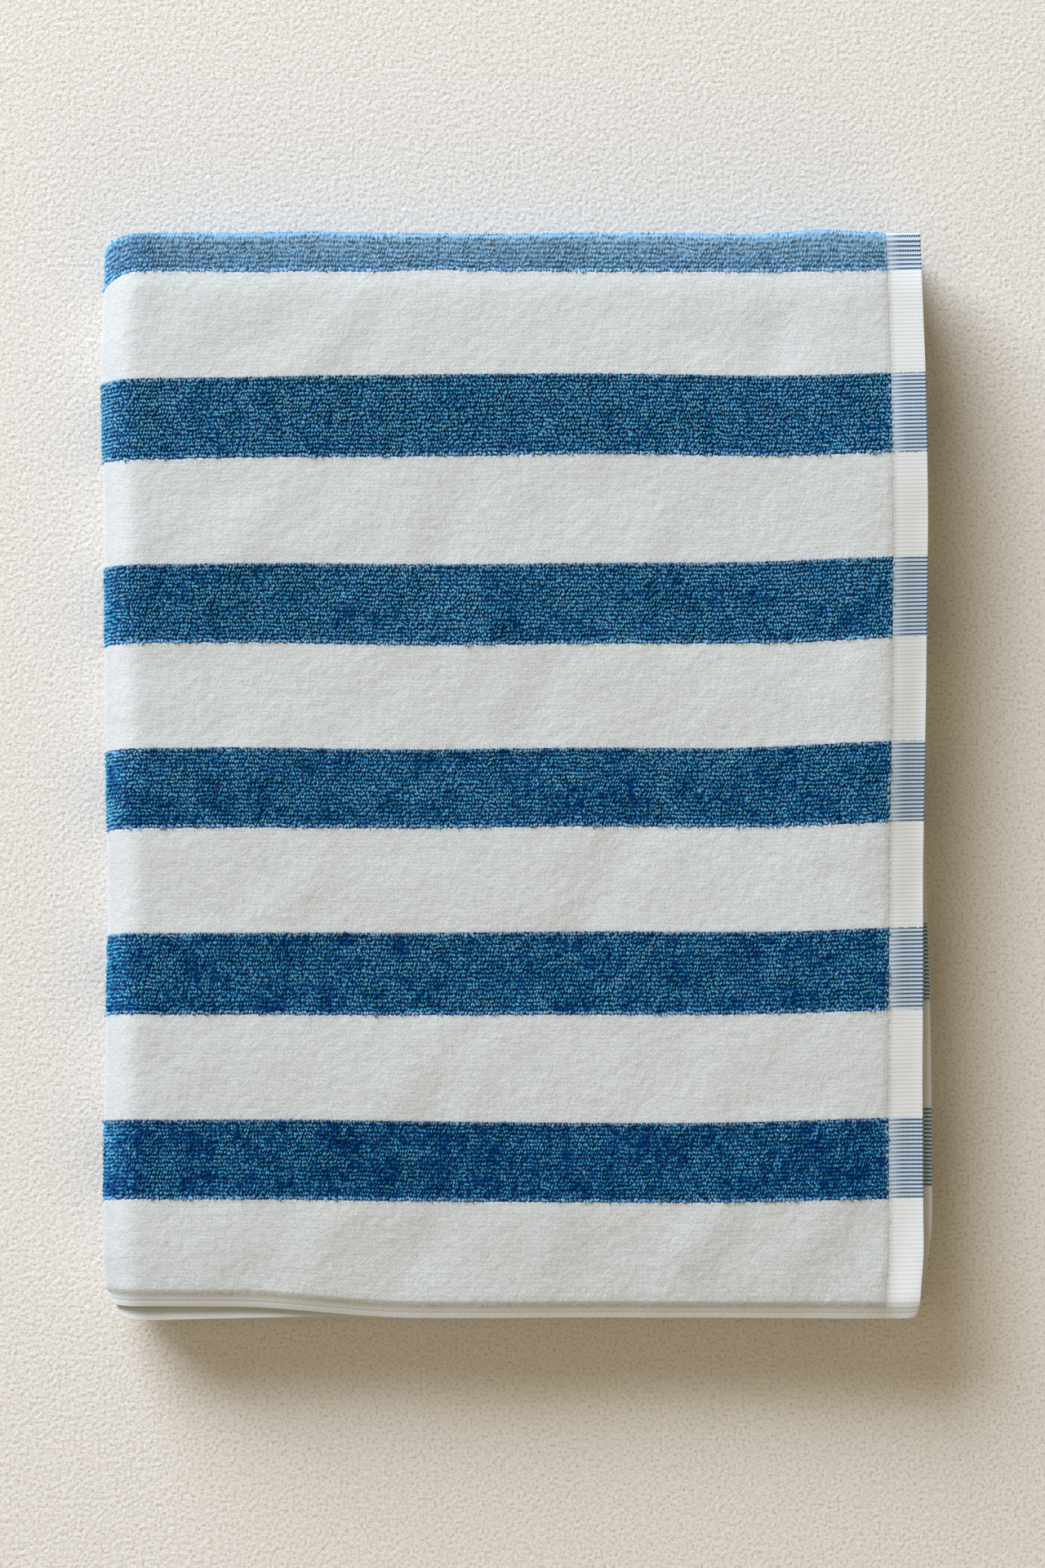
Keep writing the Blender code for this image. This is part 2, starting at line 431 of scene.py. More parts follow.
# %% Along the length
SECTION_ENDS = np.array([part.start + part.length for part in PATH])


def centre_line(u):
    """Place (x, z) of the pair's centre line at u, and the outer layer's direction from it."""
    index = np.searchsorted(SECTION_ENDS, u).clip(0, len(PATH) - 1)
    part = Section(*(np.array(row)[index] for row in zip(*PATH)))
    gone = u - part.start
    turns = part.radius > 0
    angle = np.where(turns, gone / np.where(turns, part.radius, 1.0), 0.0)
    along = np.where(turns, part.radius * np.sin(angle), gone)
    x = part.x + part.heading * along
    z = part.z - part.rise * part.radius * np.cos(angle)
    return x, z, part.rise * np.sin(angle), -part.heading * np.cos(angle)


def along_runs(u, at_start, at_end):
    """A value that each run has at its start and its end, carried on through the turns."""
    straight = [part for part in PATH if not part.radius]
    places = [place for part in straight for place in (part.start, part.start + part.length)]
    values = [getattr(run, name) for run in RUNS for name in (at_start, at_end)]
    return np.interp(u, places, values)


# %% Across the width
def width_fold(v, height):
    """Distance from the bend's centre towards +Y, and from the pair's centre line outwards."""
    angle = np.clip((v - BEND_START) / HALF_PITCH, 0.0, math.pi)
    before = np.minimum(v - BEND_START, 0.0)
    after = np.maximum(v - BEND_START - BEND_LENGTH, 0.0)
    from_centre = HALF_PITCH + height
    return before - after + from_centre * np.sin(angle), from_centre * np.cos(angle)


# %% [markdown]
# ## How it has settled
#
# Nobody folds a towel quite square. The two ends of the stack have a slightly wavy outline, the
# stack is a little lower towards its thin edges, and long, low swells run through all layers.
# These follow the frame. The creases and the drift of the stripes are added here: each crease is
# one soft ridge or trough with its own place, size and direction, each pull moves the stripes
# near it a little, and both fade out towards the floor, so the layers below follow without
# touching.

# %% Outline and swells of the stack
OUTLINE_REACH = 0.11
HEADER_OUT = (-0.0012, 0.0006, 0.0018, 0.0012, -0.0002, -0.0007, -0.0002, -0.0026)
HEADER_SHARE = (0.00, 0.12, 0.26, 0.42, 0.58, 0.78, 0.94, 1.00)
ROUND_OUT = (-0.0006, 0.0018, 0.0002, -0.0003, -0.0019, -0.0001, 0.0006, -0.0022)
ROUND_SHARE = (0.00, 0.10, 0.25, 0.42, 0.62, 0.80, 0.94, 1.00)
Sink = namedtuple("Sink", "share reach")
HEADER_SINKS = (Sink(0.012, 0.040), Sink(0.040, 0.020))
SELVEDGE_SINKS = (Sink(0.022, 0.055), Sink(0.035, 0.012))
FOLD_SINKS = (Sink(0.035, 0.100), Sink(0.065, 0.022))
Swell = namedtuple("Swell", "height along across turn")
SWELLS = (
    Swell(0.012, 0.240, 0.410, 0.6),
    Swell(0.009, 0.135, 0.230, 2.1),
    Swell(0.006, 0.410, 0.120, 4.0),
)
FOLD_WAVE = 0.0008
FOLD_WAVE_LENGTH = 0.17


def lost_height(sinks, inside):
    """The share of the height lost at this distance inside an edge."""
    return sum(sink.share * fade(0.0, sink.reach, inside) for sink in sinks)


# %% Creases, in millimetres and degrees
Crease = namedtuple("Crease", "x y along across height turn")
CREASES_MM = (
    Crease(176, 0, 300, 50, 3.4, 90),
    Crease(190, 20, 90, 12, -1.8, 90),
    Crease(190, 175, 55, 12, 1.8, 90),
    Crease(85, -215, 40, 12, 0.9, 52),
    Crease(20, -205, 30, 10, 0.7, 66),
    Crease(-45, -222, 28, 12, -0.8, 50),
    Crease(-85, -212, 30, 12, 0.7, 60),
    Crease(-135, -215, 30, 13, 0.6, 55),
    Crease(150, -228, 30, 12, -1.0, 60),
    Crease(122, 205, 22, 9, -0.8, 80),
    Crease(-90, 200, 25, 10, 0.6, 45),
    Crease(-125, 110, 30, 11, 0.6, 50),
    Crease(-30, 112, 32, 12, -0.6, 62),
    Crease(60, 105, 30, 11, 0.5, 48),
    Crease(10, 30, 30, 12, -0.7, 64),
    Crease(-105, 25, 28, 11, 0.5, 40),
    Crease(-110, -60, 30, 12, 0.6, 48),
    Crease(40, -55, 34, 13, -0.6, 58),
    Crease(-50, -135, 30, 12, 0.6, 55),
    Crease(105, -130, 34, 13, 0.6, 50),
)
CREASES = [Crease(*(size / 1000 for size in sizes), turn) for *sizes, turn in CREASES_MM]
LUMP_HEIGHT = 0.00030
LUMP_SIZE = 0.014


def crease_height(x, y):
    """How far the top of the towel stands above or below its even shape."""
    height = LUMP_HEIGHT * soft_noise(x + 1.0, y + 1.0, LUMP_SIZE, seed=3)
    for crease in CREASES:
        turn = math.radians(crease.turn)
        right, up = x - crease.x, y - crease.y
        along = right * math.cos(turn) + up * math.sin(turn)
        across = up * math.cos(turn) - right * math.sin(turn)
        height += crease.height * hump(along, crease.along) * hump(across, crease.across)
    return height


print(len(CREASES), "creases")

# %% Pulls on the stripes, in millimetres
PUSHED_BACK = 0.0019
PUSHED_REACH = (0.015, 0.070)
Pull = namedtuple("Pull", "x y along across by")
PULLS_MM = (
    Pull(-150, 150, 80, 70, -2.6),
    Pull(-190, 246, 35, 30, 1.0),
    Pull(0, 252, 500, 10, 3.0),
    Pull(142, 252, 20, 12, 2.8),
    Pull(-80, 252, 30, 12, 1.4),
    Pull(0, -75, 250, 28, 1.1),
    Pull(-40, 192, 50, 25, 1.1),
    Pull(-70, -156, 60, 30, 0.8),
    Pull(140, 100, 50, 25, 1.3),
    Pull(150, 15, 40, 30, 1.2),
    Pull(-195, -100, 20, 100, 1.6),
    Pull(-37, 232, 20, 22, 1.8),
    Pull(-124, 218, 24, 30, -1.6),
    Pull(45, 225, 32, 30, -1.2),
    Pull(10, 83, 130, 50, -1.9),
    Pull(20, -45, 120, 40, 1.1),
    Pull(-60, 115, 70, 50, 0.8),
    Pull(160, -110, 60, 90, 1.2),
    Pull(200, 0, 60, 150, 3.3),
    Pull(-160, -180, 90, 45, 1.3),
    Pull(50, -180, 80, 45, -0.9),
    Pull(0, -196, 250, 25, 0.7),
    Pull(175, -180, 45, 60, 0.9),
)
PULLS = [Pull(*(size / 1000 for size in sizes)) for sizes in PULLS_MM]


def stripe_drift(x, y):
    """How far the cloth on top is pulled towards +Y."""
    pushed = PUSHED_BACK * smooth_step(*PUSHED_REACH, FOLD_Y - y)
    return pushed + sum(p.by * hump(x - p.x, p.along) * hump(y - p.y, p.across) for p in PULLS)


print(len(PULLS), "pulls")

# %% Settle
FLOOR_LAYER = TERRY_THICKNESS / 2
DRIFT_RAMP = 0.02


def settle(x, y, z):
    """Moves points with the outline of the stack and the way its layers have settled."""
    share = np.clip((FOLD_Y - y) / FOLD_V, 0.0, 1.0)
    height = 1 - lost_height(HEADER_SINKS, HEADER_X - x)
    height = height - lost_height(SELVEDGE_SINKS, y - (FOLD_Y - FOLD_V))
    height = height - lost_height(FOLD_SINKS, FOLD_Y - y)
    for swell in SWELLS:
        turns = x / swell.along + y / swell.across
        height = height + swell.height * np.sin(math.tau * turns + swell.turn)
    stack_share = np.clip(z / STACK_TOP, 0.0, 1.0) ** 2
    at_header = smooth_step(HEADER_X - OUTLINE_REACH, HEADER_X, x)
    at_round = fade(ROUND_TURN.x, ROUND_TURN.x + OUTLINE_REACH, x)
    wave = FOLD_WAVE * np.sin(math.tau * x / FOLD_WAVE_LENGTH) * (1 - share)
    drift = stripe_drift(x, y) * stack_share * smooth_step(0.0, DRIFT_RAMP, y - FOLD_Y + FOLD_V)
    new_x = x + at_header * np.interp(share, HEADER_SHARE, HEADER_OUT)
    new_x -= at_round * np.interp(share, ROUND_SHARE, ROUND_OUT)
    new_z = FLOOR_LAYER + (z - FLOOR_LAYER) * height + crease_height(x, y) * stack_share
    return np.stack([new_x, y + wave + drift, new_z], axis=-1)


# %% Corners and selvedges
CORNER_PULL = 0.0066
CORNER_PULL_PLACE = 0.020
SELVEDGE_PULL = (-0.0032, 0.0018)
SELVEDGE_PULL_REACH = 0.050
SELVEDGE_PULL_ENDS = (0.040, 0.130)
SELVEDGE_ROUND = (0.0008, 0.0042)


def turned_side(u):
    """How far sideways the round turn looks at u: 0 on the runs, 1 half way round."""
    gone = np.clip((u - ROUND_TURN.start) / ROUND_TURN.length, 0.0, 1.0)
    return np.sin(math.pi * gone)


def drawn_in(u, v):
    """How far the corner of the widthwise and the round fold is drawn in."""
    away = np.abs(v - FOLD_V) / CORNER_PULL_PLACE
    return CORNER_PULL * turned_side(u) ** 2 * (away * np.exp(1 - away)) ** 2


def selvedge_pull(u, v):
    """How far a selvedge is pulled out on the top run, or drawn in where it turns the fold."""
    by_round, by_header = SELVEDGE_PULL
    ends = smooth_step(*SELVEDGE_PULL_ENDS, ROUND_TURN.start - u)
    out = (by_round + (by_header - by_round) * ends) * on_outer(v)
    rounded = 1 - np.sqrt(1 - turned_side(u) ** 2)
    turned = np.where(on_outer(v), *SELVEDGE_ROUND) * rounded
    return (out - turned) * smooth_step(SELVEDGE_PULL_REACH, 0.0, from_side(v))


# %% Fold
HEADER_PEEK = 0.0048
PEEK_LOST = 0.65
PEEK_GROWS = (1.45 * FOLD_V, 1.85 * FOLD_V)
PEEK_SHRINKS = (1.93 * FOLD_V, 2.0 * FOLD_V)


def header_peek(u, v):
    """How far the inner layer's header looks out from below the top one."""
    peek = HEADER_PEEK * smooth_step(*PEEK_GROWS, v)
    peek = peek * (1 - PEEK_LOST * smooth_step(*PEEK_SHRINKS, v))
    return peek * fade(0.0, TOWEL_LENGTH / 2, u)


def folded(u, v, height):
    """Places in the folded towel of points this high above the middle of the cloth."""
    corner = drawn_in(u, v) + selvedge_pull(u, v)
    slip = along_runs(u, "slip_start", "slip_end") * smooth_step(FOLD_V, TOWEL_WIDTH, v)
    fold_in = along_runs(u, "fold_in", "fold_in")
    x, z, out_x, out_z = centre_line(u - header_peek(u, v))
    reach, outwards = width_fold(v, height)
    y = FOLD_Y - fold_in - corner + reach + slip
    return settle(x + out_x * outwards, y, z + out_z * outwards)


# %% [markdown]
# The frame's origin is the middle of the folded towel's footprint, and the folds above start
# from the path of the pair. The two are brought together at two places that both know: the
# outermost points of the round fold and of the widthwise fold. The pile makes the widthwise fold
# a little fuller than the frame.

# %% Line the folds up with the frame
FOLD_OUT = 0.0018
SAMPLES = 41


def frame_shift():
    """How far the folded places lie from the frame."""
    around = np.linspace(0.0, 1.0, SAMPLES)
    u, v = np.meshgrid(ROUND_TURN.start + around * ROUND_TURN.length, around * TOWEL_WIDTH)
    left = folded(u, v, TERRY_THICKNESS / 2)[..., 0].min()
    u, v = np.meshgrid(around * TOWEL_LENGTH, BEND_START + around * BEND_LENGTH)
    back = folded(u, v, TERRY_THICKNESS / 2)[..., 1].max()
    return np.array([TOWEL_LOW.x - left, TOWEL_HIGH.y + FOLD_OUT - back, 0.0])


SHIFT = frame_shift()
print("shift in mm:", (1000 * SHIFT).round(2))

# %% [markdown]
# ## The ground cloth
#
# The ground is one thin sheet. Where loops are set on it, it is only as thick as the weave and
# the feet of the loops, and they make up the rest. Deep between the layers no loop can be seen,
# so there the sheet itself is as thick as the terry. The pile begins with a small step and then
# rises to its full height. The headers and hems have no pile and stay thin.

# %% Where loops are set
EDGE_ROWS = 3
EDGE_STRIP = EDGE_ROWS * ROW_PITCH
END_COLUMNS = 3
END_STRIP = END_COLUMNS * LOOP_PITCH
BACK_STRIP = 0.0075
RAMP = 0.008
ROUND_TURN_END = ROUND_TURN.start + ROUND_TURN.length
RIGHT_TURN_END = RIGHT_TURN.start + RIGHT_TURN.length
TERRY_START = HEADER_WIDTH
TERRY_END = TOWEL_LENGTH - HEADER_WIDTH
BACK_LOOPS_END = FOLD_V + BACK_STRIP


def within(value, low, high):
    """1 between low and high, with a ramp down to 0 outside."""
    return smooth_step(low - RAMP, low, value) * fade(high, high + RAMP, value)


def loops_here(u, v):
    """1 where loops are set on the cloth, 0 where the sheet itself has the pile's thickness."""
    top = within(u, -1.0, ROUND_TURN_END) * within(v, -1.0, BACK_LOOPS_END)
    right = within(u, RIGHT_TURN.start, RIGHT_TURN_END) * within(v, -1.0, BACK_LOOPS_END)
    back = within(v, FOLD_V - BACK_STRIP, BACK_LOOPS_END)
    side, end = SIDE_HEM_WIDTH + EDGE_STRIP + RAMP, TERRY_START + END_STRIP + RAMP
    sides = 1 - within(v, side, TOWEL_WIDTH - side)
    ends = 1 - within(u, end, TOWEL_LENGTH - end)
    return np.maximum.reduce([top, right, back, sides, ends])


# %% Thickness
BLUE_GROUND = 0.0024
WHITE_GROUND = 0.0034
DEEP_THICKNESS = 0.0038
WEAVE_THICKNESS = 0.0015
HEM_THICKNESS = 0.0010
STRIPE_RAMP = 0.0014
PILE_EDGE = 0.0003
PILE_RISE = 0.0026
PILE_STEP = 0.35


def past_stripe_edge(v):
    """How far inside a blue stripe a place is, or below 0 how far outside it."""
    periods = (v - TOWEL_WIDTH / 2) / STRIPE_PERIOD
    return BLUE_STRIPE / 2 - STRIPE_PERIOD * np.abs(periods - np.rint(periods))


def inside_terry(u, v):
    """How far a place is from the end of the pile, at a header or a side hem."""
    return np.minimum(from_end(u) - HEADER_WIDTH, from_side(v) - SIDE_HEM_WIDTH)


def cloth_thickness(u, v):
    lower = smooth_step(0.0, STRIPE_RAMP, past_stripe_edge(v))
    ground = WHITE_GROUND + (BLUE_GROUND - WHITE_GROUND) * lower
    terry = DEEP_THICKNESS + (ground - DEEP_THICKNESS) * loops_here(u, v)
    bare = np.where(from_side(v) < SIDE_HEM_WIDTH, HEM_THICKNESS, WEAVE_THICKNESS)
    inside = inside_terry(u, v)
    share = PILE_STEP * smooth_step(-PILE_EDGE, PILE_EDGE, inside)
    share += (1 - PILE_STEP) * smooth_step(0.0, PILE_RISE, inside)
    return bare + (terry - bare) * share


# %% [markdown]
# Along the free edges the layers part and flutter a little. The two hems of each pair are thinner
# than the pile beside them and are pressed towards each other there, but not so far that their
# layers would cross. The bare bands of the outer layer lie on the pile below, which lifts them a
# little, and the top header's corner curls up, as a hem does that has been washed.

# %% Flutter
FLUTTER = 0.0004
FLUTTER_SIZE = 0.034
FLUTTER_REACH = 0.014
SIDE_LAYERS = (0.3, 7.3)
END_LAYERS = (0.3, 5.3)
HEM_PRESSED = (0.0012, 0.0024)
HEM_PRESSED_REACH = 0.0076
BARE_LIFT = 0.0005
CURL = 0.0032
CURL_ALONG = 0.016
CURL_ACROSS = 0.055
FLOOR_CLEARANCE = 0.0002
CORNER_IN = 0.0013
CORNER_IN_NEAR = 0.0025
CORNER_IN_FAR = 0.0070


def edge_flutter(along, layer, from_edge, seed):
    noise = soft_noise(along, layer * FLUTTER_SIZE, FLUTTER_SIZE, seed)
    return FLUTTER * noise * fade(0.0, FLUTTER_REACH, from_edge)


def flutter(u, v):
    """How far the cloth stands off its even layer near its free edges."""
    side = edge_flutter(u, np.where(on_outer(v), *SIDE_LAYERS), from_side(v), seed=11)
    end_layer = np.where(u < TOWEL_LENGTH / 2, *END_LAYERS)
    end = edge_flutter(v, end_layer, from_end(u), seed=12)
    curl = CURL * fade(0.0, CURL_ALONG, u) * fade(0.0, CURL_ACROSS, v)
    pressed = np.where(on_outer(v), *HEM_PRESSED) * fade(0.0, HEM_PRESSED_REACH, from_side(v))
    lift = BARE_LIFT * fade(-PILE_EDGE, PILE_RISE, inside_terry(u, v)) * on_outer(v)
    return side + end + curl + lift - pressed


def rounded_corner(u, v):
    """u and v, with the cloth's corners drawn in a little, as a hem does when it is turned."""

    def drawn(far, near):
        return CORNER_IN * np.exp(-far / CORNER_IN_FAR - near / CORNER_IN_NEAR)

    new_u = u + drawn(from_end(u), from_side(v)) * np.sign(TOWEL_LENGTH / 2 - u)
    return new_u, v + drawn(from_side(v), from_end(u)) * np.sign(TOWEL_WIDTH / 2 - v)


def on_cloth(u, v, least):
    """Places on the cloth, but never lower than `least`, because the floor presses it flat."""
    places = folded(*rounded_corner(u, v), flutter(u, v)) + SHIFT
    places[..., 2] = np.maximum(places[..., 2], least)
    return places


# %% Lines of the sheet's grid
TOP_STEP = 0.0045
HIDDEN_STEP = 0.0110
WIDTH_STEP = 0.0054
TURN_STEP = 0.0030
LEAST_STEP = 0.0003
BESIDE_EDGE = 0.0006
NEAR_EDGE = (0.0, 0.0004, 0.0020)
ACROSS_HEADER = (0.006, 0.011)
BEND_LINES = 9


def spaced(start, end, step):
    """Even places from start to end, about a step apart."""
    return np.linspace(start, end, max(2, math.ceil((end - start) / step) + 1))


def edge_lines(band):
    """Places near a free edge: its rounding, the flat band and the step up to the pile."""
    rise = (-PILE_EDGE, PILE_EDGE, PILE_RISE / 3, 2 * PILE_RISE / 3, PILE_RISE)
    return [*NEAR_EDGE, *(band + place for place in rise)]


def tidy_lines(lines):
    """Sorted, without near doubles."""
    lines = np.sort(lines)
    return lines[np.insert(np.diff(lines) > LEAST_STEP, 0, True)]


def length_lines():
    lines = [*edge_lines(HEADER_WIDTH), *ACROSS_HEADER]
    lines += [TOWEL_LENGTH - line for line in lines]
    for part in PATH:
        step = TURN_STEP if part.radius else HIDDEN_STEP
        step = TOP_STEP if part is TOP_RUN else step
        lines += list(spaced(part.start, part.start + part.length, step))
    return tidy_lines(lines)


def width_lines():
    lines = edge_lines(SIDE_HEM_WIDTH)
    lines += [TOWEL_WIDTH - line for line in lines]
    lines += list(BEND_START + BEND_LENGTH * np.linspace(0, 1, BEND_LINES))
    for low, high, is_blue in stripes():
        step = WIDTH_STEP if low < FOLD_V else HIDDEN_STEP
        from_edge = (STRIPE_RAMP / 2, STRIPE_RAMP) if is_blue else (0.0, BESIDE_EDGE)
        if low > FOLD_V:
            from_edge = from_edge[:1]
        inside = [place for edge in from_edge for place in (low + edge, high - edge)]
        inside += list(spaced(low + from_edge[-1], high - from_edge[-1], step))
        lines += [line for line in inside if not BEND_START < line < BEND_START + BEND_LENGTH]
    return tidy_lines(lines)


LENGTH_LINES, WIDTH_LINES = length_lines(), width_lines()
print("sheet grid:", len(LENGTH_LINES), "by", len(WIDTH_LINES), "lines")

# %% [markdown]
# The loops have to stand on the flat facets of the sheet, not on the smooth shape that the
# formulas describe, or they would sink in or float. So the formulas are worked out once, where
# the grid's lines cross, and any place between is found on the facet that it falls on.


# %% Places on the sheet
def unit(looks):
    return looks / np.linalg.norm(looks, axis=-1, keepdims=True)


def looks_of(places):
    """Which way a grid of places looks at each of its points."""
    return unit(-np.cross(np.gradient(places, axis=0), np.gradient(places, axis=1)))


def sheet_places():
    """Where the grid's lines cross on the cloth, which way its middle and its upper face look
    there, and half its thickness."""
    u, v = np.meshgrid(LENGTH_LINES, WIDTH_LINES, indexing="ij")
    half = cloth_thickness(u, v)[..., None] / 2
    places = on_cloth(u, v, least=FLOOR_CLEARANCE + half[..., 0])
    looks = looks_of(places)
    return places, looks, looks_of(places + looks * half), half


SHEET_PLACES, SHEET_LOOKS, FACE_LOOKS, SHEET_HALF = sheet_places()


def cell_of(lines, place):
    """The cell between two lines that each place falls in, and its share of the way across."""
    cell = np.clip(np.searchsorted(lines, place) - 1, 0, len(lines) - 2)
    return cell, ((place - lines[cell]) / (lines[cell + 1] - lines[cell]))[..., None]


def on_sheet(u, v, face, height=0.0):
    """Places above one face of the sheet's own facets, and the way that face looks, or with
    face 0 places in the middle of the sheet."""
    column, along = cell_of(LENGTH_LINES, u)
    row, up = cell_of(WIDTH_LINES, v)

    def between(grid):
        low = grid[column, row] * (1 - along) + grid[column + 1, row] * along
        high = grid[column, row + 1] * (1 - along) + grid[column + 1, row + 1] * along
        return low * (1 - up) + high * up

    looks = face * unit(between(SHEET_LOOKS))
    places = between(SHEET_PLACES) + looks * (between(SHEET_HALF) + height)
    places[..., 2] = np.maximum(places[..., 2], FLOOR_CLEARANCE)
    return places, face * unit(between(FACE_LOOKS))


# %% [markdown]
# The sheet starts as one flat grid with a line at each of those places. Its UV map holds u and v
# in metres, so that the woven patterns follow the cloth through every fold. A second map, over
# the unit square, is for anyone who bakes the finish to a picture. The vertices also carry a
# painted sheen along the widthwise fold, which turns to the lamp there, and a painted shade that
# grows with how steeply the cloth slopes, where the shaded sides of the loops show.

# %% Painted fold sheen and painted slope shade
FOLD_SHEEN_REACH = 0.0155
FOLD_SHEEN = 0.90
FOLD_SHEEN_CORNER = 0.55
FOLD_SHEEN_BACK = 0.85


def painted_fold_sheen(u, v):
    """Painted sheen along the fold across the width, which faces the lamp, less at the round fold.
    """
    on_back = smooth_step(FOLD_V - BEND_LENGTH / 2, FOLD_V + BEND_LENGTH / 4, v)
    at_corner = smooth_step(ROUND_TURN.start - FOLD_SHEEN_REACH, ROUND_TURN.start, u)
    kept = (1 - FOLD_SHEEN_BACK * on_back) * (1 - FOLD_SHEEN_CORNER * at_corner)
    return FOLD_SHEEN * hump(v - FOLD_V, FOLD_SHEEN_REACH) * kept


def painted_slope_shade(looks):
    """Painted shade for the loops' shaded sides seen from above: most where the cloth slopes at 60
    degrees."""
    rise = np.abs(looks[..., 2])
    return 4 * rise * (1 - rise)


# %% Read and write a mesh
def read(items, name, width, kind=np.float32):
    """One row of numbers for each item of a mesh."""
    numbers = np.empty(len(items) * width, kind)
    items.foreach_get(name, numbers)
    return numbers.reshape(-1, width)


def write(items, name, rows):
    items.foreach_set(name, rows.astype(np.float32).ravel())


def corner_vertices(mesh):
    return read(mesh.loops, "vertex_index", 1, np.int32).ravel()


def add_map(mesh, name, places):
    """A UV map from one place per face corner."""
    write(mesh.uv_layers.new(name=name).uv, "vector", places)


def carry(mesh, numbers):
    """Puts named numbers on the vertices."""
    for name, values in numbers.items():
        mesh.attributes.new(name, "FLOAT", "POINT")
        write(mesh.attributes[name].data, "value", values)


# %% Make the sheet
def make_sheet():
    columns, rows = len(LENGTH_LINES) - 1, len(WIDTH_LINES) - 1
    grid = bmesh.new()
    bmesh.ops.create_grid(grid, x_segments=columns, y_segments=rows, size=0.5)
    mesh = to_mesh(grid, "ground_cloth")
    flat = read(mesh.vertices, "co", 3) + 0.5
    u = LENGTH_LINES[np.rint(flat[:, 0] * columns).astype(int)]
    v = WIDTH_LINES[np.rint(flat[:, 1] * rows).astype(int)]
    write(mesh.vertices, "co", on_sheet(u, v, face=0)[0])
    on_corners = np.stack([u, v], axis=1)[corner_vertices(mesh)]
    add_map(mesh, "cloth", on_corners)
    add_map(mesh, "OFBake", on_corners / (TOWEL_LENGTH, TOWEL_WIDTH))
    # the painted sheen along the widthwise fold
    carry(mesh, {"set with loops": loops_here(u, v), "fold_sheen": painted_fold_sheen(u, v)})
    # painted shade that grows with the cloth's slope
    carry(mesh, {"painted_slope_shade": painted_slope_shade(on_sheet(u, v, face=1)[1])})
    mesh.shade_smooth()
    sheet = add_object("ground_cloth", mesh)
    group = sheet.vertex_groups.new(name="thickness")
    for index, share in enumerate(cloth_thickness(u, v) / DEEP_THICKNESS):
        group.add([index], float(share), "REPLACE")
    return sheet


def thicken(sheet):
    thickness = sheet.modifiers.new("thickness", "SOLIDIFY")
    thickness.thickness = DEEP_THICKNESS
    thickness.offset = 0.0
    thickness.vertex_group = "thickness"
    thickness.use_even_offset = True


sheet = make_sheet()
thicken(sheet)
print("sheet:", 4 * len(sheet.data.polygons), "triangles when thickened, without its rim")

# %% [markdown]
# ## The finish of the ground
#
# One material covers the whole sheet. It works out from the cloth's own map which stripe a place
# is in, and whether it lies in the terry, in a header or in a side hem. Between the loops it is
# painted dark, as painted shade where the loops shade the ground. Where there are no modelled
# loops
# it carries the same loops as a pattern: rows of short slanted spots, raised by bump, with painted
# shade between them and, in the blue, a painted highlight on them. The white pile has felted in
# the wash, so a fine felt closes the spots there, and a shallow crumple runs through all of the
# pile.

# %% Colours of the cotton
WHITE_TIP = (0.622, 0.642, 0.634, 1.0)
# painted shade at the feet of the white loops and between the white spots
WHITE_PAINTED_FOOT_SHADE = (0.545, 0.560, 0.550, 1.0)
# painted shade where the cloth slopes and the loops' shaded sides show
WHITE_PAINTED_SLOPE_SHADE = (0.38, 0.365, 0.345, 1.0)
# painted highlight on the blue loops' crowns and on the drawn blue spots
BLUE_PAINTED_CROWN_LIGHT = (0.260, 0.430, 0.550, 1.0)
BLUE_YARN = (0.032, 0.258, 0.415, 1.0)
# painted shade at the feet of the blue loops
BLUE_PAINTED_FOOT_SHADE = (0.0005, 0.044, 0.180, 1.0)
# painted shade on the blue ground between the loops and between the drawn spots
BLUE_PAINTED_GAP_SHADE = (0.0003, 0.028, 0.125, 1.0)
# the pale of mixed white and blue yarn, and the painted sheen on the fold
PALE_BLUE_MIX_AND_SHEEN = (0.31, 0.48, 0.63, 1.0)
PALE_WEAVE = (0.56, 0.69, 0.81, 1.0)
HEM_WEAVE = (0.62, 0.635, 0.625, 1.0)
WHITE_WEAVE = (0.74, 0.755, 0.755, 1.0)
BLUE_THREAD = (0.010, 0.034, 0.082, 1.0)

# %% Patterns on the cloth's map
LOOP_SLANT = 0.35
SPOT_SCATTER = 0.6
SPOT_EDGES = (0.65, 0.1)


def cloth_map(tree):
    """u and v of a place on the cloth, in metres, and the map itself."""
    place = add_node(tree, "UVMap", (), uv_map="cloth")
    u, v = (add_node(tree, "SeparateXYZ", (place,), axis) for axis in ("X", "Y"))
    return u, v, place


def blue_share(v):
    """1 in a blue stripe, 0 in a white one."""
    inside = ((v - TOWEL_WIDTH / 2) / STRIPE_PERIOD + 0.5).apply("FRACT")
    from_centre = (inside - 0.5).apply("ABSOLUTE")
    return from_centre.apply("LESS_THAN", BLUE_STRIPE / 2 / STRIPE_PERIOD)


def edge_distance(value, whole):
    """How far a place is from the nearer of two edges."""
    return value.apply("MINIMUM", whole - value)


def ridges(value, pitch, phase=0.0):
    """Ridges across `value`, one each pitch: 1 on top of a ridge, 0 between two."""
    return ((value / pitch + phase) * math.tau).apply("COSINE") * 0.5 + 0.5


def drawn_loops(u, v):
    """The pattern of the pile: 1 on a loop, 0 between the loops."""
    place = add_node(u.tree, "CombineXYZ", ((v * LOOP_SLANT + u) / LOOP_PITCH, v / ROW_PITCH))
    inputs = {"Vector": place, "Scale": 1.0, "Randomness": SPOT_SCATTER}
    return soft_range(add_node(u.tree, "TexVoronoi", inputs, "Distance"), *SPOT_EDGES)


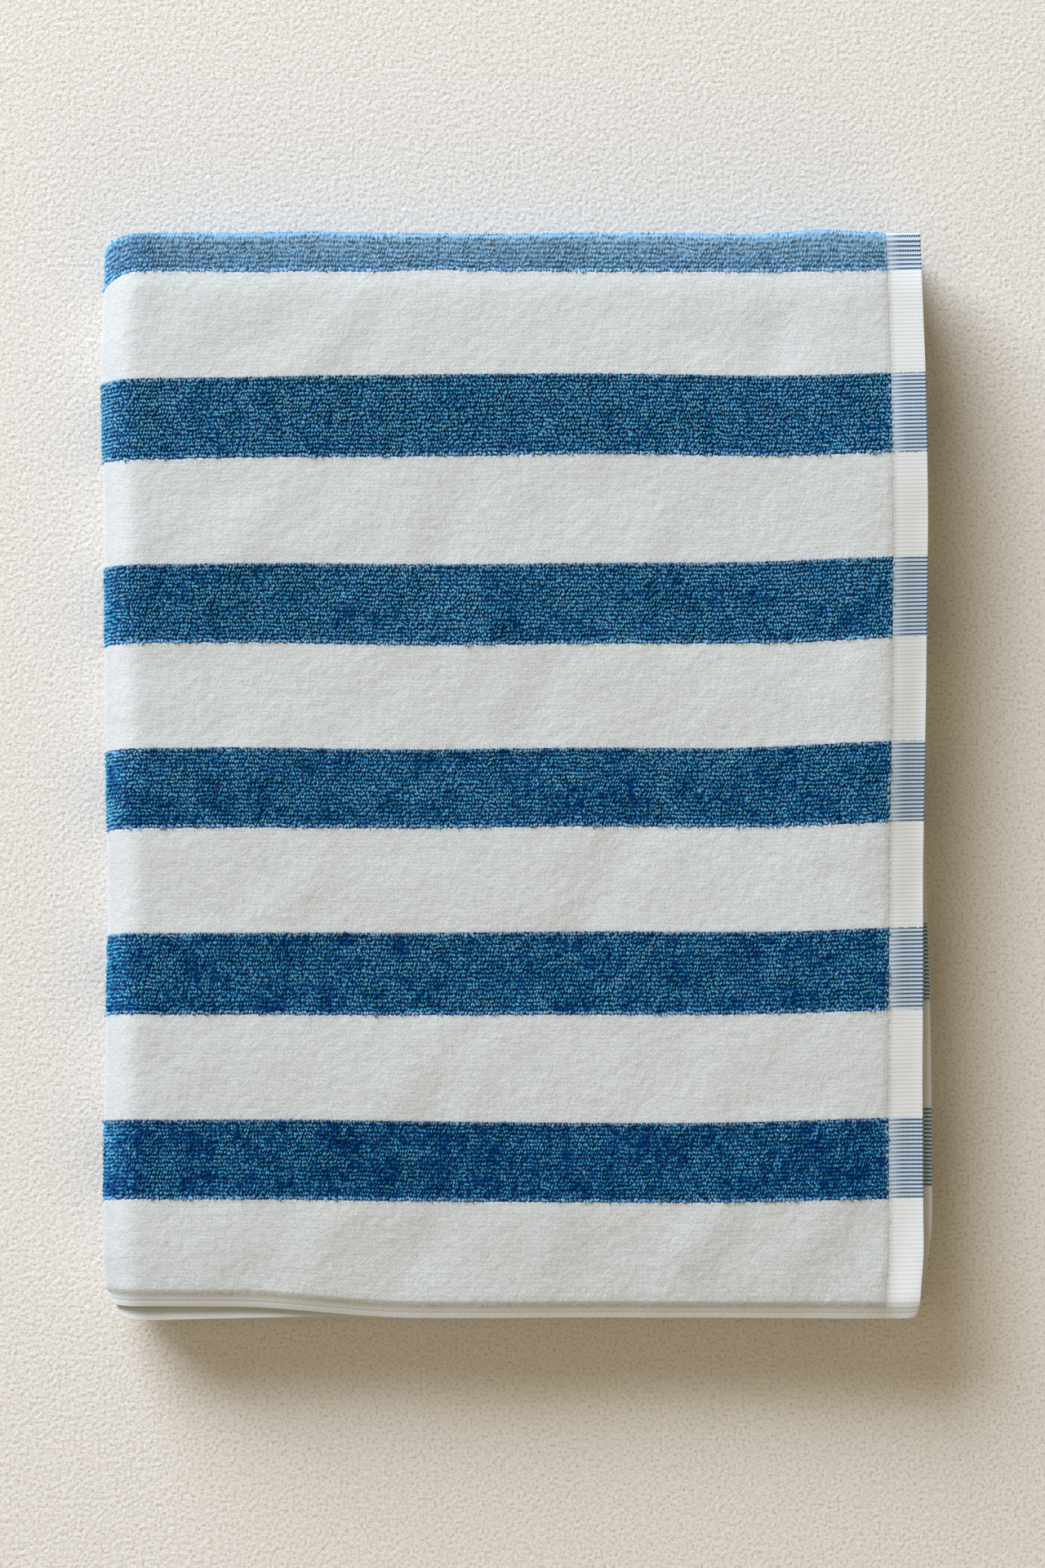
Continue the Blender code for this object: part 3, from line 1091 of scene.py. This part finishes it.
# %% [markdown]
# In the header the pile yarns lie flat in the weave. A blue stripe goes on there as a score of
# thin, twisted dark threads on white, one for each row of loops, and a white stripe as ribs that
# hardly show. The weft makes fine cross ribs, and the side hem is closed by a line of stitches.

# %% The header's threads and the hem's stitches
THREAD_WIDTH = 0.58
TWIST_PITCH = 0.0011
TWIST_SLANT = 0.34
TWIST_EDGES = (0.5, 0.3)
TWIST_FAINT = 0.55
THREAD_FADE = 0.007
THREAD_FAINT = 0.45
STITCH_LINE = 0.0026
STITCH_WIDTH = 0.0005
STITCH_PITCH = 0.0026
STITCH_EDGES = (0.15, 0.4)


def threads(u, v):
    """The flat-lying pile yarns: a strength for their colour and one for their relief."""
    along_twist = (u / TWIST_PITCH).apply("FRACT")
    row = along_twist * TWIST_SLANT + (v - TOWEL_WIDTH / 2) / ROW_PITCH
    rib = ridges(row, 1.0, phase=0.5 - TWIST_SLANT / 2)
    line = soft_range(rib, 1 - THREAD_WIDTH, 1 - THREAD_WIDTH / 2)
    between = (along_twist - 0.5).apply("ABSOLUTE")
    from_edge = edge_distance(u, TOWEL_LENGTH)
    clear = soft_range(from_edge, HEADER_WIDTH, HEADER_WIDTH - THREAD_FADE, THREAD_FAINT, 1.0)
    return line * soft_range(between, *TWIST_EDGES, TWIST_FAINT, 1.0) * clear, rib


def stitches(u, v):
    """1 on the stitches of the side hems."""
    off_line = (edge_distance(v, TOWEL_WIDTH) - STITCH_LINE).apply("ABSOLUTE")
    on_line = soft_range(off_line, STITCH_WIDTH, STITCH_WIDTH / 3)
    return on_line * soft_range(ridges(u, STITCH_PITCH), *STITCH_EDGES)


# %% The ground's finish
# share of the painted slope shade
PAINTED_SLOPE_SHADE_SHARE = 0.62
# share of the painted fold sheen on the blue ground
FOLD_SHEEN_GROUND = 0.8
STRAY = 0.0022
STRAY_SIZE = 0.0012
LOOP_DEPTH = 0.0011
RIB_DEPTH = 0.00012
RIB_RELIEF = 0.35
THREAD_RELIEF = 0.8
CROSS_RELIEF = 0.25
STITCH_RELIEF = 0.6
FELT_SIZE = 0.0007
FELT_EDGES = (0.35, 0.65)
FELT_DEPTH = 0.00006
CRUMPLE_SIZE = 0.0046
CRUMPLE_DEPTH = 0.00040
FUZZ_SIZE = 0.002
NOISE_EDGES = (0.3, 0.7)
GROUND_ROUGHNESS = (0.82, 0.98)


def ground_finish():
    material, tree, shader = new_material("woven cotton ground", 0.9, sheen=0.15)
    u, v, place = cloth_map(tree)
    in_header = edge_distance(u, TOWEL_LENGTH).apply("LESS_THAN", HEADER_WIDTH)
    in_hem = edge_distance(v, TOWEL_WIDTH).apply("LESS_THAN", SIDE_HEM_WIDTH)
    bare = in_header.apply("MAXIMUM", in_hem)
    blue = blue_share((noise_at(place, STRAY_SIZE) - 0.5) * STRAY + v) * (1.0 - in_hem)
    # spots are 0 under the modelled loops, so the ground between those loops shows the painted
    # shade
    spot = drawn_loops(u, v) * (1.0 - attribute_of(tree, "set with loops"))
    felt = soft_range(noise_at(place, FELT_SIZE), *FELT_EDGES)
    # white ground: painted shade between the drawn spots, mostly closed by the felt
    white = mix_colour(spot.apply("MAXIMUM", felt), WHITE_PAINTED_FOOT_SHADE, WHITE_TIP)
    # painted shade where the cloth slopes
    white = mix_colour(attribute_of(tree, "painted_slope_shade") * PAINTED_SLOPE_SHADE_SHARE, white, WHITE_PAINTED_SLOPE_SHADE)
    # blue ground: painted shade between the drawn spots and a painted highlight on them
    blues = mix_colour(spot, BLUE_PAINTED_GAP_SHADE, BLUE_PAINTED_CROWN_LIGHT)
    # painted sheen along the widthwise fold
    blues = mix_colour(attribute_of(tree, "fold_sheen") * FOLD_SHEEN_GROUND, blues, PALE_BLUE_MIX_AND_SHEEN)
    thread, rib = threads(u, v)
    between = mix_colour(in_hem, mix_colour(blue, WHITE_WEAVE, PALE_WEAVE), HEM_WEAVE)
    weave = mix_colour(thread * blue, between, BLUE_THREAD)
    feed(shader, "Base Color", mix_colour(bare, mix_colour(blue, white, blues), weave))
    woven = ridges(u, TWIST_PITCH) * CROSS_RELIEF + rib * (blue * THREAD_RELIEF + RIB_RELIEF)
    woven = woven - stitches(u, v) * in_hem * STITCH_RELIEF
    crumple = noise_at(object_place(tree), CRUMPLE_SIZE) * (CRUMPLE_DEPTH / LOOP_DEPTH)
    pile = crumple + (felt * (FELT_DEPTH / LOOP_DEPTH) + spot)
    bumped(shader, mix_colour(bare, pile, woven * (RIB_DEPTH / LOOP_DEPTH)), LOOP_DEPTH)
    fuzz = noise_at(place, FUZZ_SIZE)
    feed(shader, "Roughness", soft_range(fuzz, *NOISE_EDGES, *GROUND_ROUGHNESS))
    return material


sheet.data.materials.append(ground_finish())
print("ground finish:", len(sheet.data.materials[0].node_tree.nodes), "nodes")

# %% [markdown]
# ## One loop of pile
#
# Seen from above, a washed loop is a short, slanted stroke of yarn: high in the middle and low at
# both ends, where it dives back into the ground. There are over a hundred thousand of them, so
# one loop may have only a few faces. It is a ball with three sides, five vertices and six faces,
# laid down and drawn out into a ridge with its ends pushed down. Smooth shading rounds it off.
# The white loops are felted, so they are wider and hardly stand out of the ground.

# %% Make one loop
Loop = namedtuple("Loop", "length width top foot end crown")
BLUE_LOOP = Loop(0.0026, 0.00145, 0.0023, 0.0010, 0.0012, 1.5)
WHITE_LOOP = Loop(0.0028, 0.00180, 0.00190, 0.00160, 0.00160, 0.6)
LOOP_VERTICES = 5
LOOP_TRIANGLES = 6
CELL_ABOVE = (0.30, 0.95)
CELL_BELOW = (0.05, 0.20)
CELL_WIDTH = 0.9


def one_loop(loop):
    """A loop along Y, standing on Z = 0, with one cell of the bake's map."""
    ball = bmesh.new()
    bmesh.ops.create_uvsphere(ball, u_segments=3, v_segments=2, radius=1.0)
    bmesh.ops.rotate(ball, verts=ball.verts, matrix=Matrix.Rotation(math.pi / 2, 3, "X"))
    ring = [vertex for vertex in ball.verts if abs(vertex.co.y) < 0.5]
    turn = math.pi / 2 - math.atan2(ring[0].co.z, ring[0].co.x)
    bmesh.ops.rotate(ball, verts=ball.verts, matrix=Matrix.Rotation(-turn, 3, "Y"))
    size = (loop.width / math.sqrt(3), loop.length / 2, 1.0)
    bmesh.ops.scale(ball, verts=ball.verts, vec=size)
    for vertex in ball.verts:
        if vertex.co.z > 0.5:
            vertex.co.z = loop.top
        else:
            vertex.co.z = loop.foot if abs(vertex.co.y) < loop.length / 4 else loop.end
    bmesh.ops.recalc_face_normals(ball, faces=ball.faces)
    lay_out(ball, loop)
    mesh = to_mesh(ball, "loop")
    mesh.shade_smooth()
    return mesh


def lay_out(ball, loop):
    """Gives the four faces seen from above most of the map's cell, and the two below a strip."""
    layer = ball.loops.layers.uv.new("OFBake")
    for face in ball.faces:
        above = max(vertex.co.z for vertex in face.verts) > (loop.top + loop.end) / 2
        low, high = CELL_ABOVE if above else CELL_BELOW
        for corner in face.loops:
            across = 0.5 + CELL_WIDTH * corner.vert.co.x / loop.width
            along = 0.5 + corner.vert.co.y / loop.length
            corner[layer].uv = (across, low + (high - low) * along)


LOOP_MESHES = {loop: one_loop(loop) for loop in (BLUE_LOOP, WHITE_LOOP)}
for mesh in LOOP_MESHES.values():
    print("one loop:", len(mesh.vertices), "vertices,", len(mesh.polygons), "faces")

# %% [markdown]
# ## Setting the loops
#
# An Array modifier makes as many copies of the loop as a piece of pile needs, all in one place.
# Each copy is then given its own place on the cloth, in rows across and columns along, with some
# jitter. Real pile leans in patches where a hand or the wash has brushed it, so a soft noise turns
# and leans neighbouring loops alike, and a second one varies them singly.

# %% Rows and columns of loops
ROW_STAGGER = 0.5
JITTER_ALONG = 0.00036
JITTER_ACROSS = 0.00040


def loop_grid(u_low, u_high, v_low, v_high, face=1):
    """Places (u, v, face) of the loops on a patch of one face of the cloth."""
    columns = max(1, round((u_high - u_low) / LOOP_PITCH))
    rows = max(1, round((v_high - v_low) / ROW_PITCH))
    column, row = (grid.ravel() for grid in np.meshgrid(np.arange(columns), np.arange(rows)))
    stagger = ROW_STAGGER * (row % 2 - 0.5)
    u = u_low + (column + 0.5 + stagger) / columns * (u_high - u_low)
    v = v_low + (row + 0.5) / rows * (v_high - v_low)
    return np.stack([u, v, np.full(u.shape, float(face))], axis=1)


# %% Copies of the loop
def copies_of_loop(loop, name, count):
    """A mesh of `count` loops, one after another, all in the first one's place."""
    maker = add_object(name, LOOP_MESHES[loop])
    array = maker.modifiers.new("copies", "ARRAY")
    array.count = count
    array.use_relative_offset = False
    bpy.context.view_layer.update()
    graph = bpy.context.evaluated_depsgraph_get()
    mesh = bpy.data.meshes.new_from_object(maker.evaluated_get(graph))
    bpy.data.objects.remove(maker)
    mesh.name = name
    return mesh


# %% [markdown]
# Where a stripe or the terry ends, its last loops stray over the line in small groups, and white
# and blue yarn mix. Elsewhere loops lean away from each other along short crooked lines, the
# partings, where the feet of the loops show, and the loops beside them carry a painted shade that
# shows most in the blue pile.

# %% Ragged edges, mixed yarn and partings
RAGGED = 0.00045
RAGGED_SIZE = 0.0022
MIXED_REACH = 0.0011
MIXED = 0.65
PART_SIZE = 0.0042
PART_STEP = PART_SIZE / 20
PART_REACH = 0.0010
PART_PATCH = 0.0090
PART_PATCH_EDGES = (-0.2, 0.4)
PART_LEAN = 0.55
NEARLY_FLAT = 1e-9


def ragged(u, v):
    """How far a loop strays where its stripe or the terry ends, along and across the cloth."""
    at_header = hump(from_end(u) - HEADER_WIDTH, 2 * LOOP_PITCH)
    at_stripe = hump(past_stripe_edge(v), ROW_PITCH)
    stray_u = RAGGED * soft_noise(v + 1, u + 1, RAGGED_SIZE, seed=31) * at_header
    stray_v = RAGGED * soft_noise(u + 1, v + 1, RAGGED_SIZE, seed=32) * at_stripe
    return stray_u, stray_v


def yarn_mix_and_fold_sheen(u, v):
    """How far white and blue yarn mix along stripe edges, and the painted sheen on the fold."""
    inside = past_stripe_edge(v)
    at_end = hump(from_end(u) - HEADER_WIDTH, MIXED_REACH) * (inside > 0)
    mixed = MIXED * np.maximum(hump(inside, MIXED_REACH), at_end)
    return mixed, painted_fold_sheen(u, v) * (inside > 0)


def pile_noise(u, v, size, seed):
    return soft_noise(u + 2, v + 2, size, seed)


def parting(u, v):
    """Which way loops lean from the nearest parting of the pile, and how near it is."""
    here = pile_noise(u, v, PART_SIZE, 26)
    to_u = pile_noise(u + PART_STEP, v, PART_SIZE, 26) - here
    to_v = pile_noise(u, v + PART_STEP, PART_SIZE, 26) - here
    steep = np.hypot(to_u, to_v) + NEARLY_FLAT
    parted = smooth_step(*PART_PATCH_EDGES, pile_noise(u, v, PART_PATCH, 27))
    near = hump(here * PART_STEP / steep, PART_REACH) * parted
    lean = PART_LEAN * np.sign(here) * near / steep
    return lean * to_u, lean * to_v, near


# %% Turn, lean and shade
PATCH_SIZE = 0.0055
TURN_BIAS = 0.15
TURN_PATCHES = 0.60
TURN_SINGLE = 0.70
LEAN_PATCHES = 0.60
LEAN_SINGLE = 0.22
SIZE_SINGLE = 0.30
HEIGHT_SINGLE = 0.30
TONE_SINGLE = 0.35
TONE_PATCHES = 0.40
TONE_SIZE = 0.0034
TONE_BROAD = 0.20
TONE_BROAD_SIZE = 0.011
PART_PAINTED_SHADE = 0.50
PAINTED_LIGHT_TOWARDS_FOLD = 0.75
PAINTED_LIGHT_SCALE = 0.75
MIXED_RANGE = (0.0, 2.0)
FOLD_SHEEN_RANGE = (0.4, 1.2)
PALE_FEET = 0.7


def lay_loops(loop, shape, places, seed):
    """Where every vertex of every loop lies, its painted light and shade, and how pale it is from
    mixed yarn and painted sheen, from 0 to 1.
    """
    rng = np.random.default_rng(seed)
    count = len(places)
    at_u, at_v, face = places.T
    stray_u, stray_v = ragged(at_u, at_v)
    u = at_u + stray_u + rng.uniform(-JITTER_ALONG, JITTER_ALONG, count)
    v = at_v + stray_v + rng.uniform(-JITTER_ACROSS, JITTER_ACROSS, count)

    def varied(patches, single, seed):
        """Alike in neighbouring loops, and a little different in each."""
        return patches * pile_noise(u, v, PATCH_SIZE, seed) + single * rng.uniform(-1, 1, count)

    turn = TURN_BIAS + varied(TURN_PATCHES, TURN_SINGLE, 21)
    part_u, part_v, near_parting = parting(u, v)
    lean_u = varied(LEAN_PATCHES, LEAN_SINGLE, 22) + part_u
    lean_v = varied(LEAN_PATCHES, LEAN_SINGLE, 23) + part_v
    size = 1 + SIZE_SINGLE * rng.uniform(-1, 1, (2, count, 1))
    x, y, z = shape.reshape(count, LOOP_VERTICES, 3).transpose(2, 0, 1)
    x, y = -x * face[:, None] * size[0], y * size[1]
    above_foot = z - loop.foot
    rise = above_foot / (loop.top - loop.foot)
    cos, sin = np.cos(turn)[:, None], np.sin(turn)[:, None]
    new_u = u[:, None] + x * cos + y * sin + lean_u[:, None] * above_foot
    new_v = v[:, None] - x * sin + y * cos + lean_v[:, None] * above_foot
    z = z + above_foot * HEIGHT_SINGLE * rng.uniform(-1, 1, (count, 1))
    tone = TONE_SINGLE * rng.uniform(-1, 1, count)
    tone += TONE_PATCHES * pile_noise(u, v, TONE_SIZE, 24)
    tone += TONE_BROAD * pile_noise(u, v, TONE_BROAD_SIZE, 25)
    # painted light: the loops are lighter towards the widthwise fold, which faces the lamp
    # painted shade: loops near a parting are darker
    tone += PAINTED_LIGHT_TOWARDS_FOLD * (v / FOLD_V - 0.5) - PART_PAINTED_SHADE * near_parting
    # painted light of each vertex: painted shade at the loop's feet, a painted highlight on its
    # crown, with a tone that differs at random
    light = PAINTED_LIGHT_SCALE * rise.clip(0, 1) ** loop.crown * (1 + tone[:, None])
    # paleness from mixed yarn at stripe edges and the painted sheen on the fold
    mixed, fold_sheen = yarn_mix_and_fold_sheen(at_u, at_v)
    pale = mixed * rng.uniform(*MIXED_RANGE, count) + fold_sheen * rng.uniform(*FOLD_SHEEN_RANGE, count)
    pale = pale[:, None] * (PALE_FEET + (1 - PALE_FEET) * rise)
    ground = (BLUE_GROUND if loop is BLUE_LOOP else WHITE_GROUND) / 2
    _, looks = on_sheet(u, v, face[:, None])
    spots, _ = on_sheet(new_u, new_v, face[:, None, None], (z - ground)[..., None])
    looks = np.repeat(looks, LOOP_VERTICES, axis=0)
    shades = {"light": light.clip(0, 1), "pale": pale.clip(0, 1)}
    if loop is WHITE_LOOP:
        # painted shade where the cloth slopes, for the white loops
        shades["painted_slope_shade"] = painted_slope_shade(looks)
    return spots, looks, shades


# %% Make a piece of pile
FIRST_SEED = 40
SOFTNESS = {BLUE_LOOP: 0.25, WHITE_LOOP: 0.87}
PALE_SOFTNESS = 0.85
pile_pieces = []


def bake_cells(mesh, count):
    """Gives each loop its own cell of the bake's map."""
    layer = mesh.uv_layers["OFBake"]
    side = math.ceil(math.sqrt(count))
    loop = corner_vertices(mesh) // LOOP_VERTICES
    places = read(layer.uv, "vector", 2) + np.stack([loop % side, loop // side], axis=1)
    write(layer.uv, "vector", places / side)


def soften(mesh, looks, softness, pale):
    """Turns the loops' smooth normals part of the way to those of the cloth below, and most of
    the way where they are pale from mixed yarn and from the painted sheen on the fold."""
    share = softness + (PALE_SOFTNESS - softness) * pale.reshape(-1, 1)
    own = read(mesh.vertex_normals, "vector", 3)
    mesh.normals_split_custom_set_from_vertices(unit(own * (1 - share) + looks * share))


def make_pile(name, patches, loop, finish, slot):
    places = np.concatenate([loop_grid(*patch) for patch in patches])
    mesh = copies_of_loop(loop, name, len(places))
    seed = FIRST_SEED + len(pile_pieces)
    spots, looks, shades = lay_loops(loop, read(mesh.vertices, "co", 3), places, seed)
    write(mesh.vertices, "co", spots)
    mesh.update()
    soften(mesh, looks, SOFTNESS[loop], shades["pale"])
    carry(mesh, shades)
    bake_cells(mesh, len(places))
    mesh.materials.clear()
    mesh.materials.append(finish)
    piece = add_object(name, mesh)
    pile_pieces.append(piece)
    print(name, len(places), "loops")


# %% [markdown]
# ## The finish of the loops
#
# Cotton yarn is matt with a soft sheen. Each loop gets painted shade at its feet, the yarn's own
# colour on its sides and a painted highlight on its crown. The `light` attribute carries this
# painted light and shade from the loop's own shape. Fine noise stands for the twist of the yarn
# and keeps the dye from looking printed.

# %% The loops' finish
YARN_SIZE = 0.0004
YARN_DEPTH = 0.00012
YARN_BUMP = 0.4
YARN_TONE = (0.8, 1.2)
YARN_ROUGHNESS = (0.88, 1.0)
PAINTED_FOOT_SHADE_RANGE = (0.0, 0.42)
PAINTED_CROWN_LIGHT_RANGE = (0.3, 1.0)


def pile_finish(name, foot, yarn_colour, crown, sheen, gloss, crumpled=0.0):
    material, tree, shader = new_material(name, 0.95, sheen=sheen, gloss=gloss)
    place = object_place(tree)
    yarn = noise_at(place, YARN_SIZE, detail=1.0)
    # the light attribute is painted light: painted shade at the feet, a painted highlight on the
    # crown
    light = attribute_of(tree, "light") * soft_range(yarn, *NOISE_EDGES, *YARN_TONE)
    colour = mix_colour(soft_range(light, *PAINTED_FOOT_SHADE_RANGE), foot, yarn_colour)
    colour = mix_colour(soft_range(light, *PAINTED_CROWN_LIGHT_RANGE), colour, crown)
    # painted shade where the cloth slopes
    colour = mix_colour(attribute_of(tree, "painted_slope_shade") * PAINTED_SLOPE_SHADE_SHARE, colour, WHITE_PAINTED_SLOPE_SHADE)
    # pale of mixed yarn and the painted sheen on the fold
    colour = mix_colour(attribute_of(tree, "pale"), colour, PALE_BLUE_MIX_AND_SHEEN)
    feed(shader, "Base Color", colour)
    crumple = noise_at(place, CRUMPLE_SIZE) * (crumpled / (YARN_DEPTH * YARN_BUMP))
    bumped(shader, crumple + yarn, YARN_DEPTH, YARN_BUMP)
    feed(shader, "Roughness", soft_range(yarn, *NOISE_EDGES, *YARN_ROUGHNESS))
    return material


WHITE_COLOURS = (WHITE_PAINTED_FOOT_SHADE, WHITE_TIP, WHITE_TIP)
WHITE_PILE = pile_finish("white cotton loops", *WHITE_COLOURS, 0.05, 0.1, CRUMPLE_DEPTH)
BLUE_PILE = pile_finish("blue cotton loops", BLUE_PAINTED_FOOT_SHADE, BLUE_YARN, BLUE_PAINTED_CROWN_LIGHT, 0.0, 0.02)

# %% [markdown]
# ## The pile, stripe by stripe
#
# The pile that shows lies on the top run and the round fold, along the widthwise fold, along the
# free edges of all layers, on the right-hand turn and behind the headers. Each stripe on top is
# one piece, and the thin strips elsewhere are joined into two pieces for each colour.


# %% The pile on top
def finish_of(is_blue):
    if is_blue:
        return BLUE_LOOP, BLUE_PILE, "blue_terry"
    return WHITE_LOOP, WHITE_PILE, "white_terry"


def on_top():
    for number, (low, high, is_blue) in enumerate(stripes(), start=1):
        if low < FOLD_V:
            high = min(high, BACK_LOOPS_END)
            colour = "blue" if is_blue else "white"
            patch = (TERRY_START, ROUND_TURN_END + END_STRIP, low, high, 1)
            make_pile(f"{colour}_loops_top_{number}", [patch], *finish_of(is_blue))


on_top()


# %% The pile along the edges
def edge_patches():
    """The strips behind the side hems, on both faces of all layers."""
    inner = SIDE_HEM_WIDTH + EDGE_STRIP
    outer_strip = (SIDE_HEM_WIDTH, inner)
    inner_strip = (TOWEL_WIDTH - inner, TOWEL_WIDTH - SIDE_HEM_WIDTH)
    yield ROUND_TURN_END + END_STRIP, TERRY_END, *outer_strip, 1
    yield TERRY_START, TERRY_END, *outer_strip, -1
    yield TERRY_START, TERRY_END, *inner_strip, 1
    yield TERRY_START, TERRY_END, *inner_strip, -1


def right_patches(wanted_blue):
    """The right-hand turn, and the columns behind the headers, for the stripes of one colour."""
    for low, high, is_blue in stripes():
        if is_blue != wanted_blue:
            continue
        if low < FOLD_V:
            yield RIGHT_TURN.start, RIGHT_TURN_END, low, min(high, BACK_LOOPS_END), 1
        yield TERRY_START, TERRY_START + END_STRIP, low, high, -1
        yield TERRY_END - END_STRIP, TERRY_END, low, high, 1
        yield TERRY_END - END_STRIP, TERRY_END, low, high, -1
        if low > FOLD_V:
            yield TERRY_START, TERRY_START + END_STRIP, low, high, 1


make_pile("white_loops_front_edges", list(edge_patches()), *finish_of(False))
make_pile("white_loops_right_side", list(right_patches(False)), *finish_of(False))
make_pile("blue_loops_right_side", list(right_patches(True)), *finish_of(True))
back = (ROUND_TURN_END + END_STRIP, TERRY_END, FOLD_V - BACK_STRIP, BACK_LOOPS_END, 1)
make_pile("blue_loops_back_fold", [back], *finish_of(True))
loops_made = sum(len(piece.data.vertices) for piece in pile_pieces) // LOOP_VERTICES
print(loops_made, "loops,", LOOP_TRIANGLES * loops_made, "triangles")

# %% [markdown]
# ## Hand the pieces over
#
# The sheet stands for the whole towel of the frame, which is then hidden, and the pile goes with
# it. The flat size is the cut of the cloth before it was folded. How much taller and wider the
# finished towel is than the frame is printed.

# %% Join the frame
for piece in (sheet, *pile_pieces):
    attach(piece, "root")
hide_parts("towel")

# %% Print how much the towel outgrows the frame
bpy.context.view_layer.update()
finished_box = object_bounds()
growth = [1000 * (a - b) for a, b in zip(finished_box[1], frame_box[1])]
print("taller and wider than the frame by mm:", [round(side, 2) for side in growth])
